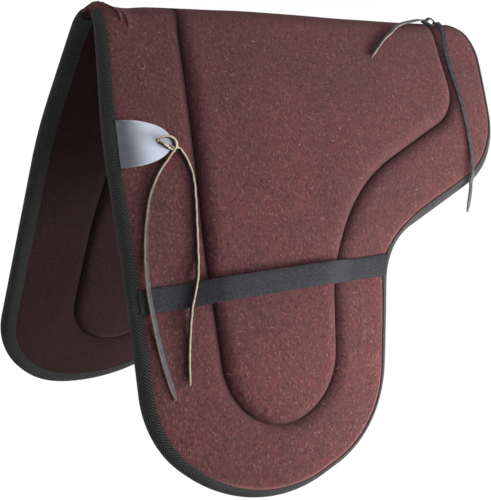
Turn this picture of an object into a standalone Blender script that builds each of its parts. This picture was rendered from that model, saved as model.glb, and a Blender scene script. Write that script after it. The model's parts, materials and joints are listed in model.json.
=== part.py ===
"""Wool felt saddle pad: two quilted flaps joined along the spine, with edge binding,
girth straps, leather lace tabs and tie laces. Metres, +Z up, +X towards the tail,
-Y the near (left) side. The origin is under the middle of the spine, where the pad
lies on the horse's back."""
import math

import bmesh
import bpy
from mathutils import Matrix, Vector

# Driving dimensions. A pattern point is (x, s): x runs back from the front of the spine
# and s runs from the spine down a flap, both along the felt.
GAP = 0.0003
FELT = 0.003                # one sheet of felt
CENTRE_RISE = 0.0105        # half the thickness of the raised centre panel
RIM_RISE = 0.007            # half the thickness of the rim round it
CREST_RISE = 0.005          # half the thickness beside the spine tape
CREST_REACH = 0.060         # how far from the tape the panel takes to reach its full height
GROOVE_REACH = 0.016        # how far the felt is drawn down beside the sewn channel
EDGE_REACH = 0.026          # how far it is drawn down beside the outer edge

CREST_RADIUS = 0.0313       # bend of the felt over the spine, at mid thickness
LEAN_TOP = (26.3, 24.0)     # lean of the left and right flap from the vertical, degrees
LEAN_LOW = (15.3, 24.5)     # and near their lower ends: the right one hangs straighter
LEAN_LOW_AT = 0.500         # how far down the flap that lower lean is reached
SWING = (0.0, 0.015)        # how far back each flap swings for its depth

EDGE_IN = 0.0025            # the felt stops this far inside the outline of the binding
BINDING_WIDTH = 0.0155      # showing on each face
BINDING_TURN = 0.007        # where the binding starts to dip over the edge
BINDING_THICK = 0.0012
TAPE_HALF = 0.006           # half the width of the spine tape
TAPE_THICK = 0.0012
FOLD_IN = 15.0              # how far a flap folds under, degrees

STRAP_TOP = 0.331           # the girth strap's upper edge, down the flap
STRAP_WIDTH = 0.026
STRAP_THICK = 0.0016
STRAP_STAND = 0.0085        # room for a girth between the strap and the centre panel
STRAP_LAND = 0.055          # the strap lies on the rim for this far from the binding
STRAP_RAMP = 0.055

TAB_DOWN = 0.176            # the lace tab's centre line, down the flap
TAB_WIDTH = 0.053
TAB_TIP = 0.0445            # the tab's tip, back from the front of the spine
TAB_THICK = 0.0024
TAB_LIFT = 0.0038           # how far the tip stands off the felt
TAB_ROUND = 2.2             # power of the curve that rounds the tab off
SLOT_LENGTH = 0.014
SLOT_WIDTH = 0.006
SLOT_LAND = 0.006           # leather left between the slot and the tip
SLOT_DROP = 0.004           # the slot lies below the centre line
LOOP_PAST = 0.0022          # room between the tip and the knot

LACE_WIDTH = 0.0064
LACE_THICK = 0.002
LACE_STEP = 0.019
LOOP_CLEAR = 0.0012         # room round the land inside the loop of the lace
KNOT_SWELL = 0.0035         # how much thicker a loop is where it is knotted
REAR_LOOP = (0.5285, 0.0135)    # where the rear lace comes out of the pad: x and s
REAR_LOOP_LENGTH = 0.009
REAR_LOOP_HEIGHT = 0.005

# Corners of a flap as (x, s, radius), from the front of the spine round to its rear end
FLAP = [
    (0.000, 0.000, 0.0), (-0.030, 0.166, 0.640), (-0.047, 0.488, 0.110),
    (0.071, 0.599, 0.185), (0.270, 0.540, 0.145), (0.334, 0.318, 0.100),
    (0.576, 0.226, 0.125), (0.608, 0.042, 0.065), (0.574, 0.000, 0.0),
]
CHANNEL = [
    (0.102, 0.000, 0.0), (0.063, 0.300, 0.820), (0.055, 0.532, 0.075),
    (0.207, 0.478, 0.060), (0.255, 0.260, 0.245), (0.515, 0.149, 0.062),
    (0.524, 0.000, 0.0),
]
# Where both outlines are matched to each other: depths at the crest, then corners
CREST_DEPTHS = (0.0, TAPE_HALF, 0.018, 0.030)
LOWER_DEPTH = 0.400
FLAP_CORNERS = (3, 4, 5, 6)
CHANNEL_CORNERS = (2, 3, 4, 5)
LEGS = (1, 1, 1, 4, 7, 7, 6, 6, 5, 1, 1, 1)
# Where the rows through those places meet the spine, as shares of the centre panel
SPINE_SHARES = (0.0, 0.012, 0.024, 0.036, 0.07, 0.11, 0.27, 0.46, 0.91, 0.964, 0.976, 0.988, 1.0)
ARC_STEPS = 12

# Routes of the free laces as (x, s, height above mid thickness, roll in degrees),
# where a roll of 0 lies flat on the felt and 90 stands on its edge
FRONT_END = [
    (0.0470, 0.1855, 0.0130, 85), (0.036, 0.197, 0.0120, 80), (0.021, 0.212, 0.0115, 75),
    (0.006, 0.235, 0.0110, 55), (-0.003, 0.258, 0.0107, 45), (-0.011, 0.285, 0.0105, 40),
    (-0.017, 0.315, 0.0122, 35), (-0.019, 0.345, 0.0128, 30), (-0.018, 0.380, 0.0112, 25),
    (-0.015, 0.412, 0.0095, 20), (-0.009, 0.448, 0.0090, 20),
]
REAR_END = [
    (0.0530, 0.1855, 0.0130, 85), (0.060, 0.198, 0.0115, 85), (0.064, 0.216, 0.0108, 85),
    (0.061, 0.240, 0.0108, 85), (0.055, 0.270, 0.0108, 85), (0.049, 0.300, 0.0110, 85),
    (0.040, 0.331, 0.0138, 85), (0.026, 0.364, 0.0132, 80), (0.017, 0.396, 0.0108, 80),
    (0.012, 0.418, 0.0106, 80), (0.010, 0.436, 0.0106, 80),
]
REAR_SHORT_END = [
    (0.5185, 0.0105, 0.0118, 88), (0.508, 0.0125, 0.0135, 88), (0.487, 0.016, 0.0130, 88),
    (0.463, 0.021, 0.0127, 88), (0.441, 0.029, 0.0131, 88), (0.418, 0.041, 0.0136, 88),
    (0.399, 0.055, 0.0140, 85), (0.378, 0.073, 0.0142, 85),
]
REAR_LONG_END = [
    (0.5415, 0.0145, 0.0112, 60), (0.540, 0.024, 0.0118, 55), (0.533, 0.044, 0.0114, 45),
    (0.529, 0.075, 0.0108, 40), (0.529, 0.118, 0.0104, 40), (0.527, 0.160, 0.0104, 40),
    (0.522, 0.198, 0.0106, 40), (0.514, 0.228, 0.0118, 45), (0.503, 0.254, 0.0110, 50),
    (0.484, 0.291, 0.0095, 60),
]

SEWN = FELT + GAP / 2
HALF_SPINE = FLAP[-1][0] / 2
LEFT, RIGHT = -1, 1


def start_scene():
    for old in list(bpy.data.objects):
        bpy.data.objects.remove(old, do_unlink=True)
    pad = bpy.data.collections.new("wool_saddle_pad")
    bpy.context.scene.collection.children.link(pad)


def finish_with(name, colour, roughness, metallic=0.0):
    """A plain material from an sRGB hex colour."""
    material = bpy.data.materials.new(name)
    material.use_nodes = True
    shader = material.node_tree.nodes["Principled BSDF"]
    levels = [int(colour[i:i + 2], 16) / 255 for i in (0, 2, 4)]
    shader.inputs["Base Color"].default_value = [level ** 2.2 for level in levels] + [1.0]
    shader.inputs["Roughness"].default_value = roughness
    shader.inputs["Metallic"].default_value = metallic
    return material


def of_side(pair, side):
    """The left or right one of a pair of values."""
    return pair[0] if side == LEFT else pair[1]


def bend(s, side):
    """Where the middle of the felt runs over the back: (y, z, turn) at s down a flap."""
    lean_top, lean_low = of_side(LEAN_TOP, side), of_side(LEAN_LOW, side)
    crest_turn = math.radians(90 - lean_top)
    crest = CREST_RADIUS * crest_turn
    turn = min(s, crest) / CREST_RADIUS
    y = CREST_RADIUS * math.sin(turn)
    z = -CREST_RADIUS * (1 - math.cos(turn))
    if s > crest:
        rate = math.radians(lean_top - lean_low) / (LEAN_LOW_AT - crest)
        half = rate * (s - crest) / 2
        chord = (s - crest) * (math.sin(half) / half if half else 1.0)
        y += chord * math.cos(turn + half)
        z -= chord * math.sin(turn + half)
        turn += 2 * half
    return y, z, turn


def hinge():
    """The line that a flap folds on, along the edge of the tape: (y, z)."""
    y, z, turn = bend(TAPE_HALF, LEFT)
    return (y + CREST_RISE * math.sin(turn) + GAP,
            z + CREST_RISE * math.cos(turn) + CREST_RISE)


def add_hinge(name, side):
    """An empty on the line that a flap folds on, which carries the flap's pieces."""
    y, z = hinge()
    pivot = bpy.data.objects.new(name, None)
    pivot.location = (0.0, side * y, z)
    pivot.empty_display_size = 0.05
    bpy.data.collections["wool_saddle_pad"].objects.link(pivot)
    return pivot


def carry(pivot, pieces):
    """Parent pieces to a pivot without moving them."""
    for piece in pieces:
        piece.parent = pivot
        piece.matrix_parent_inverse = Matrix.Translation(-pivot.location)


def seam_room(z):
    """How far the felt stops from the spine plane, so that the flaps can fold under."""
    y_hinge, z_hinge = hinge()
    fold = math.radians(FOLD_IN)
    below = max(0.0, z_hinge - z)
    reach = (y_hinge - GAP - below * math.sin(fold)) / math.cos(fold)
    return max(0.0005, y_hinge - reach)


def drape(x, s, height, side):
    """The pattern point (x, s), raised by height off mid thickness, in space."""
    y, z, turn = bend(s, side)
    y += height * math.sin(turn)
    z += height * math.cos(turn) + CREST_RISE
    return Vector((x + of_side(SWING, side) * s - HALF_SPINE, side * max(y, seam_room(z)), z))


def pillow(distance, reach, low, high):
    """A felt surface that rises from a line of stitches like a quarter of an ellipse."""
    share = min(1.0, max(0.0, distance / reach))
    return low + (high - low) * math.sqrt(1 - (1 - share) ** 2)


def crest(s):
    """Half the thickness that the spine seam allows at s."""
    if s < TAPE_HALF:
        return SEWN + (CREST_RISE - SEWN) * s / TAPE_HALF
    return pillow(s - TAPE_HALF, CREST_REACH, CREST_RISE, CENTRE_RISE)


def trace(corners):
    """Points along a line whose corners are rounded, and where each corner's middle is."""
    places = [Vector(corner[:2]) for corner in corners]
    points = [places[0]]
    middles = [0]
    for before, at, after, corner in zip(places, places[1:], places[2:], corners[1:]):
        back = (before - at).normalized()
        on = (after - at).normalized()
        half = back.angle(on) / 2
        centre = at + (back + on).normalized() * corner[2] / math.sin(half)
        first = at + back * corner[2] / math.tan(half) - centre
        last = at + on * corner[2] / math.tan(half) - centre
        turn = math.atan2(first.x * last.y - first.y * last.x, first.dot(last))
        for step in range(ARC_STEPS + 1):
            points.append(centre + Matrix.Rotation(turn * step / ARC_STEPS, 2) @ first)
        middles.append(len(points) - 1 - ARC_STEPS // 2)
    points.append(places[-1])
    return points, middles


def run_to_depth(points, run, depth, rear):
    """How far along the line it first comes down to a depth or, at the rear, leaves it."""
    order = range(len(points) - 1)
    for i in reversed(order) if rear else order:
        a, b = points[i].y, points[i + 1].y
        if min(a, b) <= depth <= max(a, b) and a != b:
            return run[i] + (run[i + 1] - run[i]) * (depth - a) / (b - a)
    raise ValueError("the outline never reaches that depth")


def stations(corners, matched):
    """Matched points along an outline, each with the normal that points inwards. Beside
    the spine the normals run along it and are longer, to reach the same inset."""
    points, middles = trace(corners)
    run = [0.0]
    for a, b in zip(points, points[1:]):
        run.append(run[-1] + (b - a).length)
    stops = [run_to_depth(points, run, depth, False) for depth in CREST_DEPTHS]
    stops.append(run_to_depth(points, run, LOWER_DEPTH, False))
    stops += [run[middles[corner]] for corner in matched]
    stops += [run_to_depth(points, run, depth, True) for depth in reversed(CREST_DEPTHS)]
    places = [stops[0]]
    for a, b, count in zip(stops, stops[1:], LEGS):
        places += [a + (b - a) * step / count for step in range(1, count + 1)]
    found = []
    for place in places:
        i = max(k for k in range(len(run) - 1) if run[k] <= place or k == 0)
        share = (place - run[i]) / (run[i + 1] - run[i])
        along = (points[i + 1] - points[i]).normalized()
        found.append((points[i].lerp(points[i + 1], share), Vector((along.y, -along.x))))
    for i in range(len(CREST_DEPTHS)):
        for end, depth in ((i, CREST_DEPTHS[i]), (-1 - i, CREST_DEPTHS[i])):
            point, normal = found[end]
            found[end] = (Vector((point.x, depth)), Vector((1 / normal.x, 0.0)))
    return found


def between(low, value, high):
    return max(low, min(value, high))


def rim_row(edge, inward, channel, outward):
    """Points (x, s, rise) of one row across the rim, from the edge to the channel."""
    width = (channel - edge).length
    row = []
    for inset in (0.0, BINDING_TURN, BINDING_WIDTH):
        inset = min(inset, 0.45 * width)
        row.append((edge + inward * inset, inset))
    for offset in (0.014, 0.005, 0.0):
        offset = min(offset, 0.40 * width)
        row.append((channel + outward * offset, width - offset))
    points = []
    for place, from_edge in row:
        rise = min(pillow(from_edge, EDGE_REACH, SEWN, RIM_RISE),
                   pillow(width - from_edge, GROOVE_REACH, SEWN, RIM_RISE), crest(place.y))
        points.append((place.x, place.y, rise))
    return points


def centre_row(channel, inward, spine):
    """Points (x, s, rise) of one row across the centre panel, from the channel to the spine."""
    shoulder = channel + inward * GROOVE_REACH
    foot = [shoulder]
    for depth in reversed(CREST_DEPTHS[1:]):
        share = max(0.0, 1 - depth / shoulder.y) if shoulder.y else 0.0
        foot.append(shoulder.lerp(spine, share))
    row = [(channel + inward * offset, offset) for offset in (0.4 * GROOVE_REACH, GROOVE_REACH)]
    row += [(shoulder.lerp(foot[1], share), GROOVE_REACH) for share in (1 / 3, 2 / 3)]
    row += [(place, GROOVE_REACH) for place in foot[1:] + [spine]]
    points = []
    for place, offset in row:
        rise = min(pillow(offset, GROOVE_REACH, SEWN, CENTRE_RISE), crest(place.y))
        points.append((place.x, place.y, rise))
    return points


def pad_rows():
    """The pad's shared grid: each row runs from the outer edge over the channel to the spine."""
    outline = stations(FLAP, FLAP_CORNERS)
    edges = [(point + inward * EDGE_IN, inward) for point, inward in outline]
    channels = stations(CHANNEL, CHANNEL_CORNERS)
    front, rear = (point.x + inward.x * GROOVE_REACH
                   for point, inward in (channels[0], channels[-1]))
    shares = [0.0]
    for a, b, count in zip(SPINE_SHARES, SPINE_SHARES[1:], LEGS):
        shares += [a + (b - a) * step / count for step in range(1, count + 1)]
    rows = []
    for (edge, inward), (channel, normal), share in zip(edges, channels, shares):
        spine = Vector((front + (rear - front) * share, 0.0))
        rows.append(rim_row(edge, inward, channel, -normal)
                    + centre_row(channel, normal, spine))
    return rows, edges


def add_object(name, data, material):
    thing = bpy.data.objects.new(name, data)
    bpy.data.collections["wool_saddle_pad"].objects.link(thing)
    data.materials.append(material)
    return thing


def skin(name, sections, material, levels=None, closed=False):
    """Join closed sections of equally many points into one solid. levels says which way
    each strip is split, so that touching pieces are split alike."""
    shape = bmesh.new()
    rings = [[shape.verts.new(point) for point in section] for section in sections]
    count = len(rings[0])
    levels = levels or [0] * count
    pairs = list(zip(rings, rings[1:] + rings[:1])) if closed else list(zip(rings, rings[1:]))
    for near, far in pairs:
        for i in range(count):
            k = (i + 1) % count
            if levels[i] <= levels[k]:
                shape.faces.new((near[i], near[k], far[k]))
                shape.faces.new((near[i], far[k], far[i]))
            else:
                shape.faces.new((near[i], near[k], far[i]))
                shape.faces.new((near[k], far[k], far[i]))
    for ring in ([] if closed else [rings[0], rings[-1]]):
        for i in range(count // 2 - 1):
            shape.faces.new((ring[i], ring[i + 1], ring[-2 - i], ring[-1 - i]))
    bmesh.ops.remove_doubles(shape, verts=shape.verts, dist=1e-6)
    bmesh.ops.recalc_face_normals(shape, faces=shape.faces)
    mesh = bpy.data.meshes.new(name)
    shape.to_mesh(mesh)
    shape.free()
    mesh.shade_smooth()
    mesh.set_sharp_from_angle(angle=math.radians(40))
    return add_object(name, mesh, material)


def layer(name, side, rows, columns, material, low, high, wall=0):
    """One layer of a flap: low and high turn the pad's rise at a point into heights, and
    wall says which way its outer edge is split."""
    sections = []
    for row in rows:
        picked = [row[column] for column in columns]
        upper = [drape(x, s, high(rise), side) for x, s, rise in picked]
        lower = [drape(x, s, low(rise), side) for x, s, rise in picked]
        sections.append(upper + lower[::-1])
    levels = list(range(len(columns)))
    return skin(name, sections, material, levels + levels[:0:-1] + [wall])


def binding(name, side, rows, edges, material):
    """The tape folded over the edge of a flap: a leg on each face and a rounded nose."""
    sections = []
    for row, (edge, inward) in zip(rows, edges):
        def at(inset, height):
            place = edge + inward * inset
            return drape(place.x, place.y, height, side)
        legs = [(row[2][:2], row[2][2] + GAP), (row[1][:2], row[1][2] + GAP)]
        outer = [drape(x, s, h + BINDING_THICK, side) for (x, s), h in legs]
        shoulder = SEWN + GAP + 0.6 * BINDING_THICK
        outer.append(at(-GAP - 0.6 * BINDING_THICK, shoulder))
        outer.append(at(-GAP - 1.2 * BINDING_THICK, 0.0))
        outer.append(at(-GAP - 0.6 * BINDING_THICK, -shoulder))
        outer += [drape(x, s, -h - BINDING_THICK, side) for (x, s), h in reversed(legs)]
        inner = [drape(x, s, h, side) for (x, s), h in legs]
        inner += [at(-GAP, SEWN + GAP), at(-GAP, 0.0), at(-GAP, -SEWN - GAP)]
        inner += [drape(x, s, -h, side) for (x, s), h in reversed(legs)]
        sections.append(outer + inner[::-1])
    levels = [3, 2, 1, 0, 1, 2, 3]
    return skin(name, sections, material, levels + levels[::-1])


def edge_x(rows, depth, column, rear=False):
    """x where a line of the grid crosses a depth, at the front or the rear of the flap."""
    line = [row[column] for row in rows]
    steps = list(zip(line, line[1:]))
    for a, b in reversed(steps) if rear else steps:
        if min(a[1], b[1]) <= depth <= max(a[1], b[1]) and b[0] > (0.2 if rear else -1):
            return a[0] + (b[0] - a[0]) * (depth - a[1]) / (b[1] - a[1])
    raise ValueError("the edge never reaches that depth")


def strap_height(from_end):
    """The girth strap lies on the rim, then climbs to stand clear of the centre panel."""
    share = between(0.0, (from_end - STRAP_LAND) / STRAP_RAMP, 1.0)
    climb = CENTRE_RISE + STRAP_STAND - RIM_RISE
    return RIM_RISE + GAP + climb * share * share * (3 - 2 * share)


def strap_ends(rows, depths, rear):
    """x of a strap's two end corners, clear of the binding's edge, which may bulge."""
    inwards = -1 if rear else 1
    ends = [edge_x(rows, depth, 2, rear) for depth in depths]
    bulge = 0.0
    for x, s, rise in (row[2] for row in rows):
        share = (s - depths[0]) / (depths[1] - depths[0])
        if 0 < share < 1 and (x > 0.2) == rear:
            straight = ends[0] + (ends[1] - ends[0]) * share
            bulge = max(bulge, (x - straight) * inwards)
    return [end + (bulge + 2 * GAP) * inwards for end in ends]


def girth_strap(name, side, rows, material, steps=20):
    """A webbing strap across the flap, sewn in under the binding at both ends."""
    depths = (STRAP_TOP, STRAP_TOP + STRAP_WIDTH)
    spans = list(zip(depths, strap_ends(rows, depths, False), strap_ends(rows, depths, True)))
    sections = []
    for step in range(steps + 1):
        share = step / steps
        corners = []
        for depth, front, rear in spans:
            x = front + (rear - front) * share
            height = strap_height(min(x - front, rear - x))
            corners.append((x, depth, height))
        under = [drape(x, s, h, side) for x, s, h in corners]
        over = [drape(x, s, h + STRAP_THICK, side) for x, s, h in corners]
        sections.append(under + over[::-1])
    return skin(name, sections, material, [0, 1, 1, 0])


def tab_frame(rows, side):
    """Axes and origin of a lace tab: along it, across it and out from the felt."""
    base_x = edge_x(rows, TAB_DOWN, 2) + GAP
    length = TAB_TIP - base_x
    y, z, turn = bend(TAB_DOWN, side)
    out = Vector((0.0, side * math.sin(turn), math.cos(turn)))
    down = Vector((0.0, side * math.cos(turn), -math.sin(turn)))
    tilt = math.asin(TAB_LIFT / length)
    along = Vector((math.cos(tilt), 0.0, 0.0)) + out * math.sin(tilt)
    out = out * math.cos(tilt) - Vector((math.sin(tilt), 0.0, 0.0))
    origin = drape(base_x, TAB_DOWN, RIM_RISE + 2 * GAP, side)
    return origin, along, down, out, length


def lace_tab(name, side, rows, material):
    """A half-oval leather tab, sewn in under the front binding, with a slot for the lace."""
    origin, along, down, out, length = tab_frame(rows, side)
    half = TAB_WIDTH / 2
    base_x = edge_x(rows, TAB_DOWN, 2)
    slants = [edge_x(rows, TAB_DOWN + b, 2) - base_x + of_side(SWING, side) * b
              for b in (-half, half)]
    edge = [Vector((slants[1], half)), Vector((slants[0], -half))]
    for step in range(-9, 10):
        angle = math.radians(90) * step / 10
        a = length * abs(math.cos(angle)) ** (2 / TAB_ROUND)
        b = half * math.copysign(abs(math.sin(angle)) ** (2 / TAB_ROUND), angle)
        edge.append(Vector((a, b)))
    slot = []
    slot_centre = length - SLOT_LAND - SLOT_LENGTH / 2
    for step in range(12):
        angle = math.radians(30) * step
        bulge = (SLOT_LENGTH - SLOT_WIDTH) / 2 * (1 if math.cos(angle) > 0 else -1)
        slot.append(Vector((slot_centre + bulge + SLOT_WIDTH / 2 * math.cos(angle),
                            SLOT_DROP + SLOT_WIDTH / 2 * math.sin(angle))))
    outline = bpy.data.curves.new(name, "CURVE")
    outline.dimensions = "2D"
    outline.fill_mode = "BOTH"
    outline.extrude = TAB_THICK / 2
    for loop in (edge, slot):
        spline = outline.splines.new("POLY")
        spline.points.add(len(loop) - 1)
        for point, place in zip(spline.points, loop):
            point.co = (place.x, side * place.y, 0.0, 1.0)
        spline.use_cyclic_u = True
    tab = add_object(name, outline, material)
    frame = Matrix((along, side * down, out)).transposed().to_4x4()
    frame.translation = origin + out * TAB_THICK / 2
    tab.matrix_basis = frame
    return tab


def knotted_loop(name, centre, along, across, up, size, knot_at, material, steps=20):
    """A lace bent into an oval loop and swollen where it is knotted. size is the clear
    space in the loop, along and up, and knot_at the knot's place round it in degrees."""
    sections = []
    for step in range(steps):
        angle = 2 * math.pi * step / steps
        knot = max(0.0, math.cos(angle - math.radians(knot_at))) ** 6
        thick = LACE_THICK + KNOT_SWELL * knot
        half = 0.4 * LACE_WIDTH * (1 + 0.6 * knot)
        ring = []
        for grow, shift in ((0, -half), (0, half), (thick, 0.7 * half), (thick, -0.7 * half)):
            a = (size[0] / 2 + grow) * math.cos(angle)
            u = (size[1] / 2 + grow) * math.sin(angle)
            ring.append(centre + along * a + up * u + across * shift)
        sections.append(ring)
    return skin(name, sections, material, closed=True)


def tab_knot(name, side, rows, material):
    """The loop of lace through a tab's slot and round its tip, with the knot past it."""
    origin, along, down, out, length = tab_frame(rows, side)
    start = length - SLOT_LAND - SLOT_LENGTH + SLOT_WIDTH / 2 + 2 * LOOP_CLEAR
    clear = length + LOOP_PAST - start
    centre = (origin + along * (start + clear / 2) + down * SLOT_DROP
              + out * TAB_THICK / 2)
    size = (clear, TAB_THICK + 2 * LOOP_CLEAR)
    return knotted_loop(name, centre, along, down, out, size, 0, material)


def lace_frame(route, side):
    """A smooth run of (centre, width direction, thickness direction) through a route."""
    ends = [route[0]] + route + [route[-1]]
    smooth = []
    for p, q, r, t in zip(ends, ends[1:], ends[2:], ends[3:]):
        steps = max(1, round(math.dist(q[:2], r[:2]) / LACE_STEP))
        for step in range(steps):
            u = step / steps
            weights = (-0.5 * u + u * u - 0.5 * u ** 3, 1 - 2.5 * u * u + 1.5 * u ** 3,
                       0.5 * u + 2 * u * u - 1.5 * u ** 3, -0.5 * u * u + 0.5 * u ** 3)
            smooth.append([sum(w * c for w, c in zip(weights, four)) for four in zip(p, q, r, t)])
    smooth.append(list(route[-1]))
    centres = [drape(x, s, h, side) for x, s, h, roll in smooth]
    frames = []
    for i, (x, s, h, roll) in enumerate(smooth):
        along = (centres[min(i + 1, len(centres) - 1)] - centres[max(i - 1, 0)]).normalized()
        turn = bend(s, side)[2]
        out = Vector((0.0, side * math.sin(turn), math.cos(turn)))
        flat = along.cross(out).normalized()
        up = flat.cross(along).normalized()
        lean = math.radians(roll)
        wide = flat * math.cos(lean) + up * math.sin(lean)
        frames.append((centres[i], wide, wide.cross(along).normalized()))
    return frames


def free_lace(name, side, route, material):
    """One free end of a flat leather lace, cut to a point."""
    sections = []
    frames = lace_frame(route, side)
    for i, (centre, wide, thin) in enumerate(frames):
        half = LACE_WIDTH / 2 * (0.35 if i == len(frames) - 1 else 1.0)
        corners = ((-1, -1), (1, -1), (1, 1), (-1, 1))
        sections.append([centre + wide * half * a + thin * LACE_THICK / 2 * b
                         for a, b in corners])
    return skin(name, sections, material)


def flap(side, rows, edges, finishes):
    """Every piece of one flap."""
    word = "left_" if side == LEFT else "right_"
    felt, lining, filling, tape, webbing, leather, lace = finishes
    every = range(len(rows[0]))
    fill = FELT + GAP
    pieces = [
        layer(word + "outer_felt", side, rows, every, felt, lambda r: r - FELT, lambda r: r),
        layer(word + "lining_felt", side, rows, every, lining,
              lambda r: -r, lambda r: FELT - r, wall=0.5),
        layer(word + "rim_filler", side, rows[1:-1], (1, 2, 3, 4), filling,
              lambda r: fill - r, lambda r: r - fill),
        layer(word + "centre_insert", side, rows[3:-3], (6, 7, 8, 9, 10, 11), filling,
              lambda r: fill - r, lambda r: r - fill),
        binding(word + "edge_binding", side, rows, edges, tape),
        girth_strap(word + "girth_strap", side, rows, webbing),
        lace_tab(word + "lace_tab", side, rows, leather),
        tab_knot(word + "lace_knot", side, rows, lace),
        free_lace(word + "lace_front_end", side, FRONT_END, lace),
        free_lace(word + "lace_rear_end", side, REAR_END, lace),
    ]
    carry(add_hinge(word + "flap", side), pieces)


def spine_tape(rows, material):
    """A tape sewn over the seam between the flaps, from binding to binding."""
    front = rows[0][2][0] + GAP
    rear = rows[-1][2][0] - GAP
    shares = (-1.0, -0.5, 0.0, 0.5, 1.0)
    sections = []
    for x in (front, rear):
        under, over = [], []
        for share in shares:
            side = LEFT if share < 0 else RIGHT
            y, z, turn = bend(abs(share) * TAPE_HALF, side)
            for height, line in ((CREST_RISE + GAP, under),
                                 (CREST_RISE + GAP + TAPE_THICK, over)):
                line.append(Vector((x - HALF_SPINE, side * (y + height * math.sin(turn)),
                                    z + height * math.cos(turn) + CREST_RISE)))
        sections.append(under + over[::-1])
    return skin("spine_tape", sections, material)


def rear_knot(material):
    """The loop in which the rear lace leaves the pad beside the spine, and its knot."""
    x, s = REAR_LOOP
    turn = bend(s, LEFT)[2]
    out = Vector((0.0, LEFT * math.sin(turn), math.cos(turn)))
    down = Vector((0.0, LEFT * math.cos(turn), -math.sin(turn)))
    back = Vector((1.0, 0.0, 0.0))
    foot = drape(x, s, RIM_RISE + GAP, LEFT)
    centre = foot + out * (LACE_THICK + REAR_LOOP_HEIGHT / 2)
    size = (REAR_LOOP_LENGTH, REAR_LOOP_HEIGHT)
    return knotted_loop("rear_lace_knot", centre, back, down, out, size, 90, material)


def main():
    start_scene()
    felt = finish_with("maroon_wool_felt", "6A4246", 0.95)
    lining = finish_with("maroon_felt_lining", "4A2A2E", 0.95)
    filling = finish_with("felt_filling", "8A8078", 0.95)
    tape = finish_with("charcoal_twill_tape", "2E3032", 0.85)
    webbing = finish_with("charcoal_webbing", "38393B", 0.8)
    leather = finish_with("dark_leather", "3E424C", 0.45)
    lace = finish_with("dark_lace_leather", "3A3836", 0.6)
    rows, edges = pad_rows()
    spine_tape(rows, tape)
    for side in (LEFT, RIGHT):
        flap(side, rows, edges, (felt, lining, filling, tape, webbing, leather, lace))
    rear_lace = [
        rear_knot(lace),
        free_lace("rear_lace_short_end", LEFT, REAR_SHORT_END, lace),
        free_lace("rear_lace_long_end", LEFT, REAR_LONG_END, lace),
    ]
    carry(bpy.data.objects["left_flap"], rear_lace)


main()
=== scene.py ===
"""The wool saddle pad dressed: felt, binding, webbing, leather and laces over the CAD frame."""
import json
import math
import random

import bmesh
import bpy
import numpy as np
from mathutils import Matrix, Vector

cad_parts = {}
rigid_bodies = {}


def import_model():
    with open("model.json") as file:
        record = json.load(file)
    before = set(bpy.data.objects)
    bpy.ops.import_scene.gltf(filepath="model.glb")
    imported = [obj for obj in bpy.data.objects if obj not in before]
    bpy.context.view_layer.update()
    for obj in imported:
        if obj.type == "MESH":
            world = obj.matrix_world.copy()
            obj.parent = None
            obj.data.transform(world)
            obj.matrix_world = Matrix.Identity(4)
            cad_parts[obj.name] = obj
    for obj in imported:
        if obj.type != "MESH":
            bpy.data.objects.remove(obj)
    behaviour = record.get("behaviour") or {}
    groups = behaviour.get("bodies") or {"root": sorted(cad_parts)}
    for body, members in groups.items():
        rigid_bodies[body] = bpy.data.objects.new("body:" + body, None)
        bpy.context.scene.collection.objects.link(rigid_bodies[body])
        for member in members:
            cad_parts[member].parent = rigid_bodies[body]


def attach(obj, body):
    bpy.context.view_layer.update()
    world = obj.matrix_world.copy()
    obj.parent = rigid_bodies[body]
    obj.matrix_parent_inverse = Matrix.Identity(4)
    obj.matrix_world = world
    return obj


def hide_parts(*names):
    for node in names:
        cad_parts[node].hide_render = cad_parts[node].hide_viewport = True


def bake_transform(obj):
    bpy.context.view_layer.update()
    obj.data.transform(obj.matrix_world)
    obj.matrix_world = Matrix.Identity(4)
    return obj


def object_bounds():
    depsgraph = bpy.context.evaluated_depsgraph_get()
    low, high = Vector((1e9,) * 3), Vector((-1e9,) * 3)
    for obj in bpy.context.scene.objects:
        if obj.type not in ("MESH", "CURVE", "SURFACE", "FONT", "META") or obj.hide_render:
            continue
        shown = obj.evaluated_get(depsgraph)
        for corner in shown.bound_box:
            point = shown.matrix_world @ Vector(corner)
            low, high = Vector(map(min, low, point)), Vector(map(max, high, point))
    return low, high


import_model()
cad_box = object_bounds()
for thing in bpy.data.objects:  # an operator acts on all that is selected
    thing.select_set(False)


# The camera stands off the near front corner of the pad, a little above its middle, as
# the photograph was taken. The lens was fitted to the outline of both flaps.
CAMERA_PLACE = (-0.8026, -1.0000, -0.0615)
CAMERA_TURN = math.radians(36.3)
CAMERA_DROP = math.radians(10.4)
CAMERA_LENS = 70.0

bpy.ops.object.camera_add(location=CAMERA_PLACE)
camera = bpy.context.object
camera.name = "photo_camera"
camera.data.sensor_width = 36.0
camera.data.lens = CAMERA_LENS
line_of_sight = Vector((math.sin(CAMERA_TURN) * math.cos(CAMERA_DROP),
                        math.cos(CAMERA_TURN) * math.cos(CAMERA_DROP), -math.sin(CAMERA_DROP)))
camera.rotation_euler = line_of_sight.to_track_quat("-Z", "Y").to_euler()
bpy.context.scene.camera = camera
bpy.context.scene.view_settings.view_transform = "Standard"


# The pad hangs from a rail that isn't seen, just clear of a plain white floor in a white
# studio. The floor keeps a soft shadow, and the white behind the pad shows to the camera and
# in glossy surfaces only.
FLOOR_SIZE = 14.0
FLOOR_DROP = 0.045              # room below the pad for its flaps to swing in
FLOOR_WHITE = 1.06              # how bright the floor looks where it is seen directly
FLOOR_SHARE = 0.93              # how much of that white covers its paint and shadow
STUDIO_GREY = 0.30              # how bright the studio is for matt surfaces
LIT_MIDDLE = Vector((0.0, 0.0, -0.22))  # the lights stand round this point and face it


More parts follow.
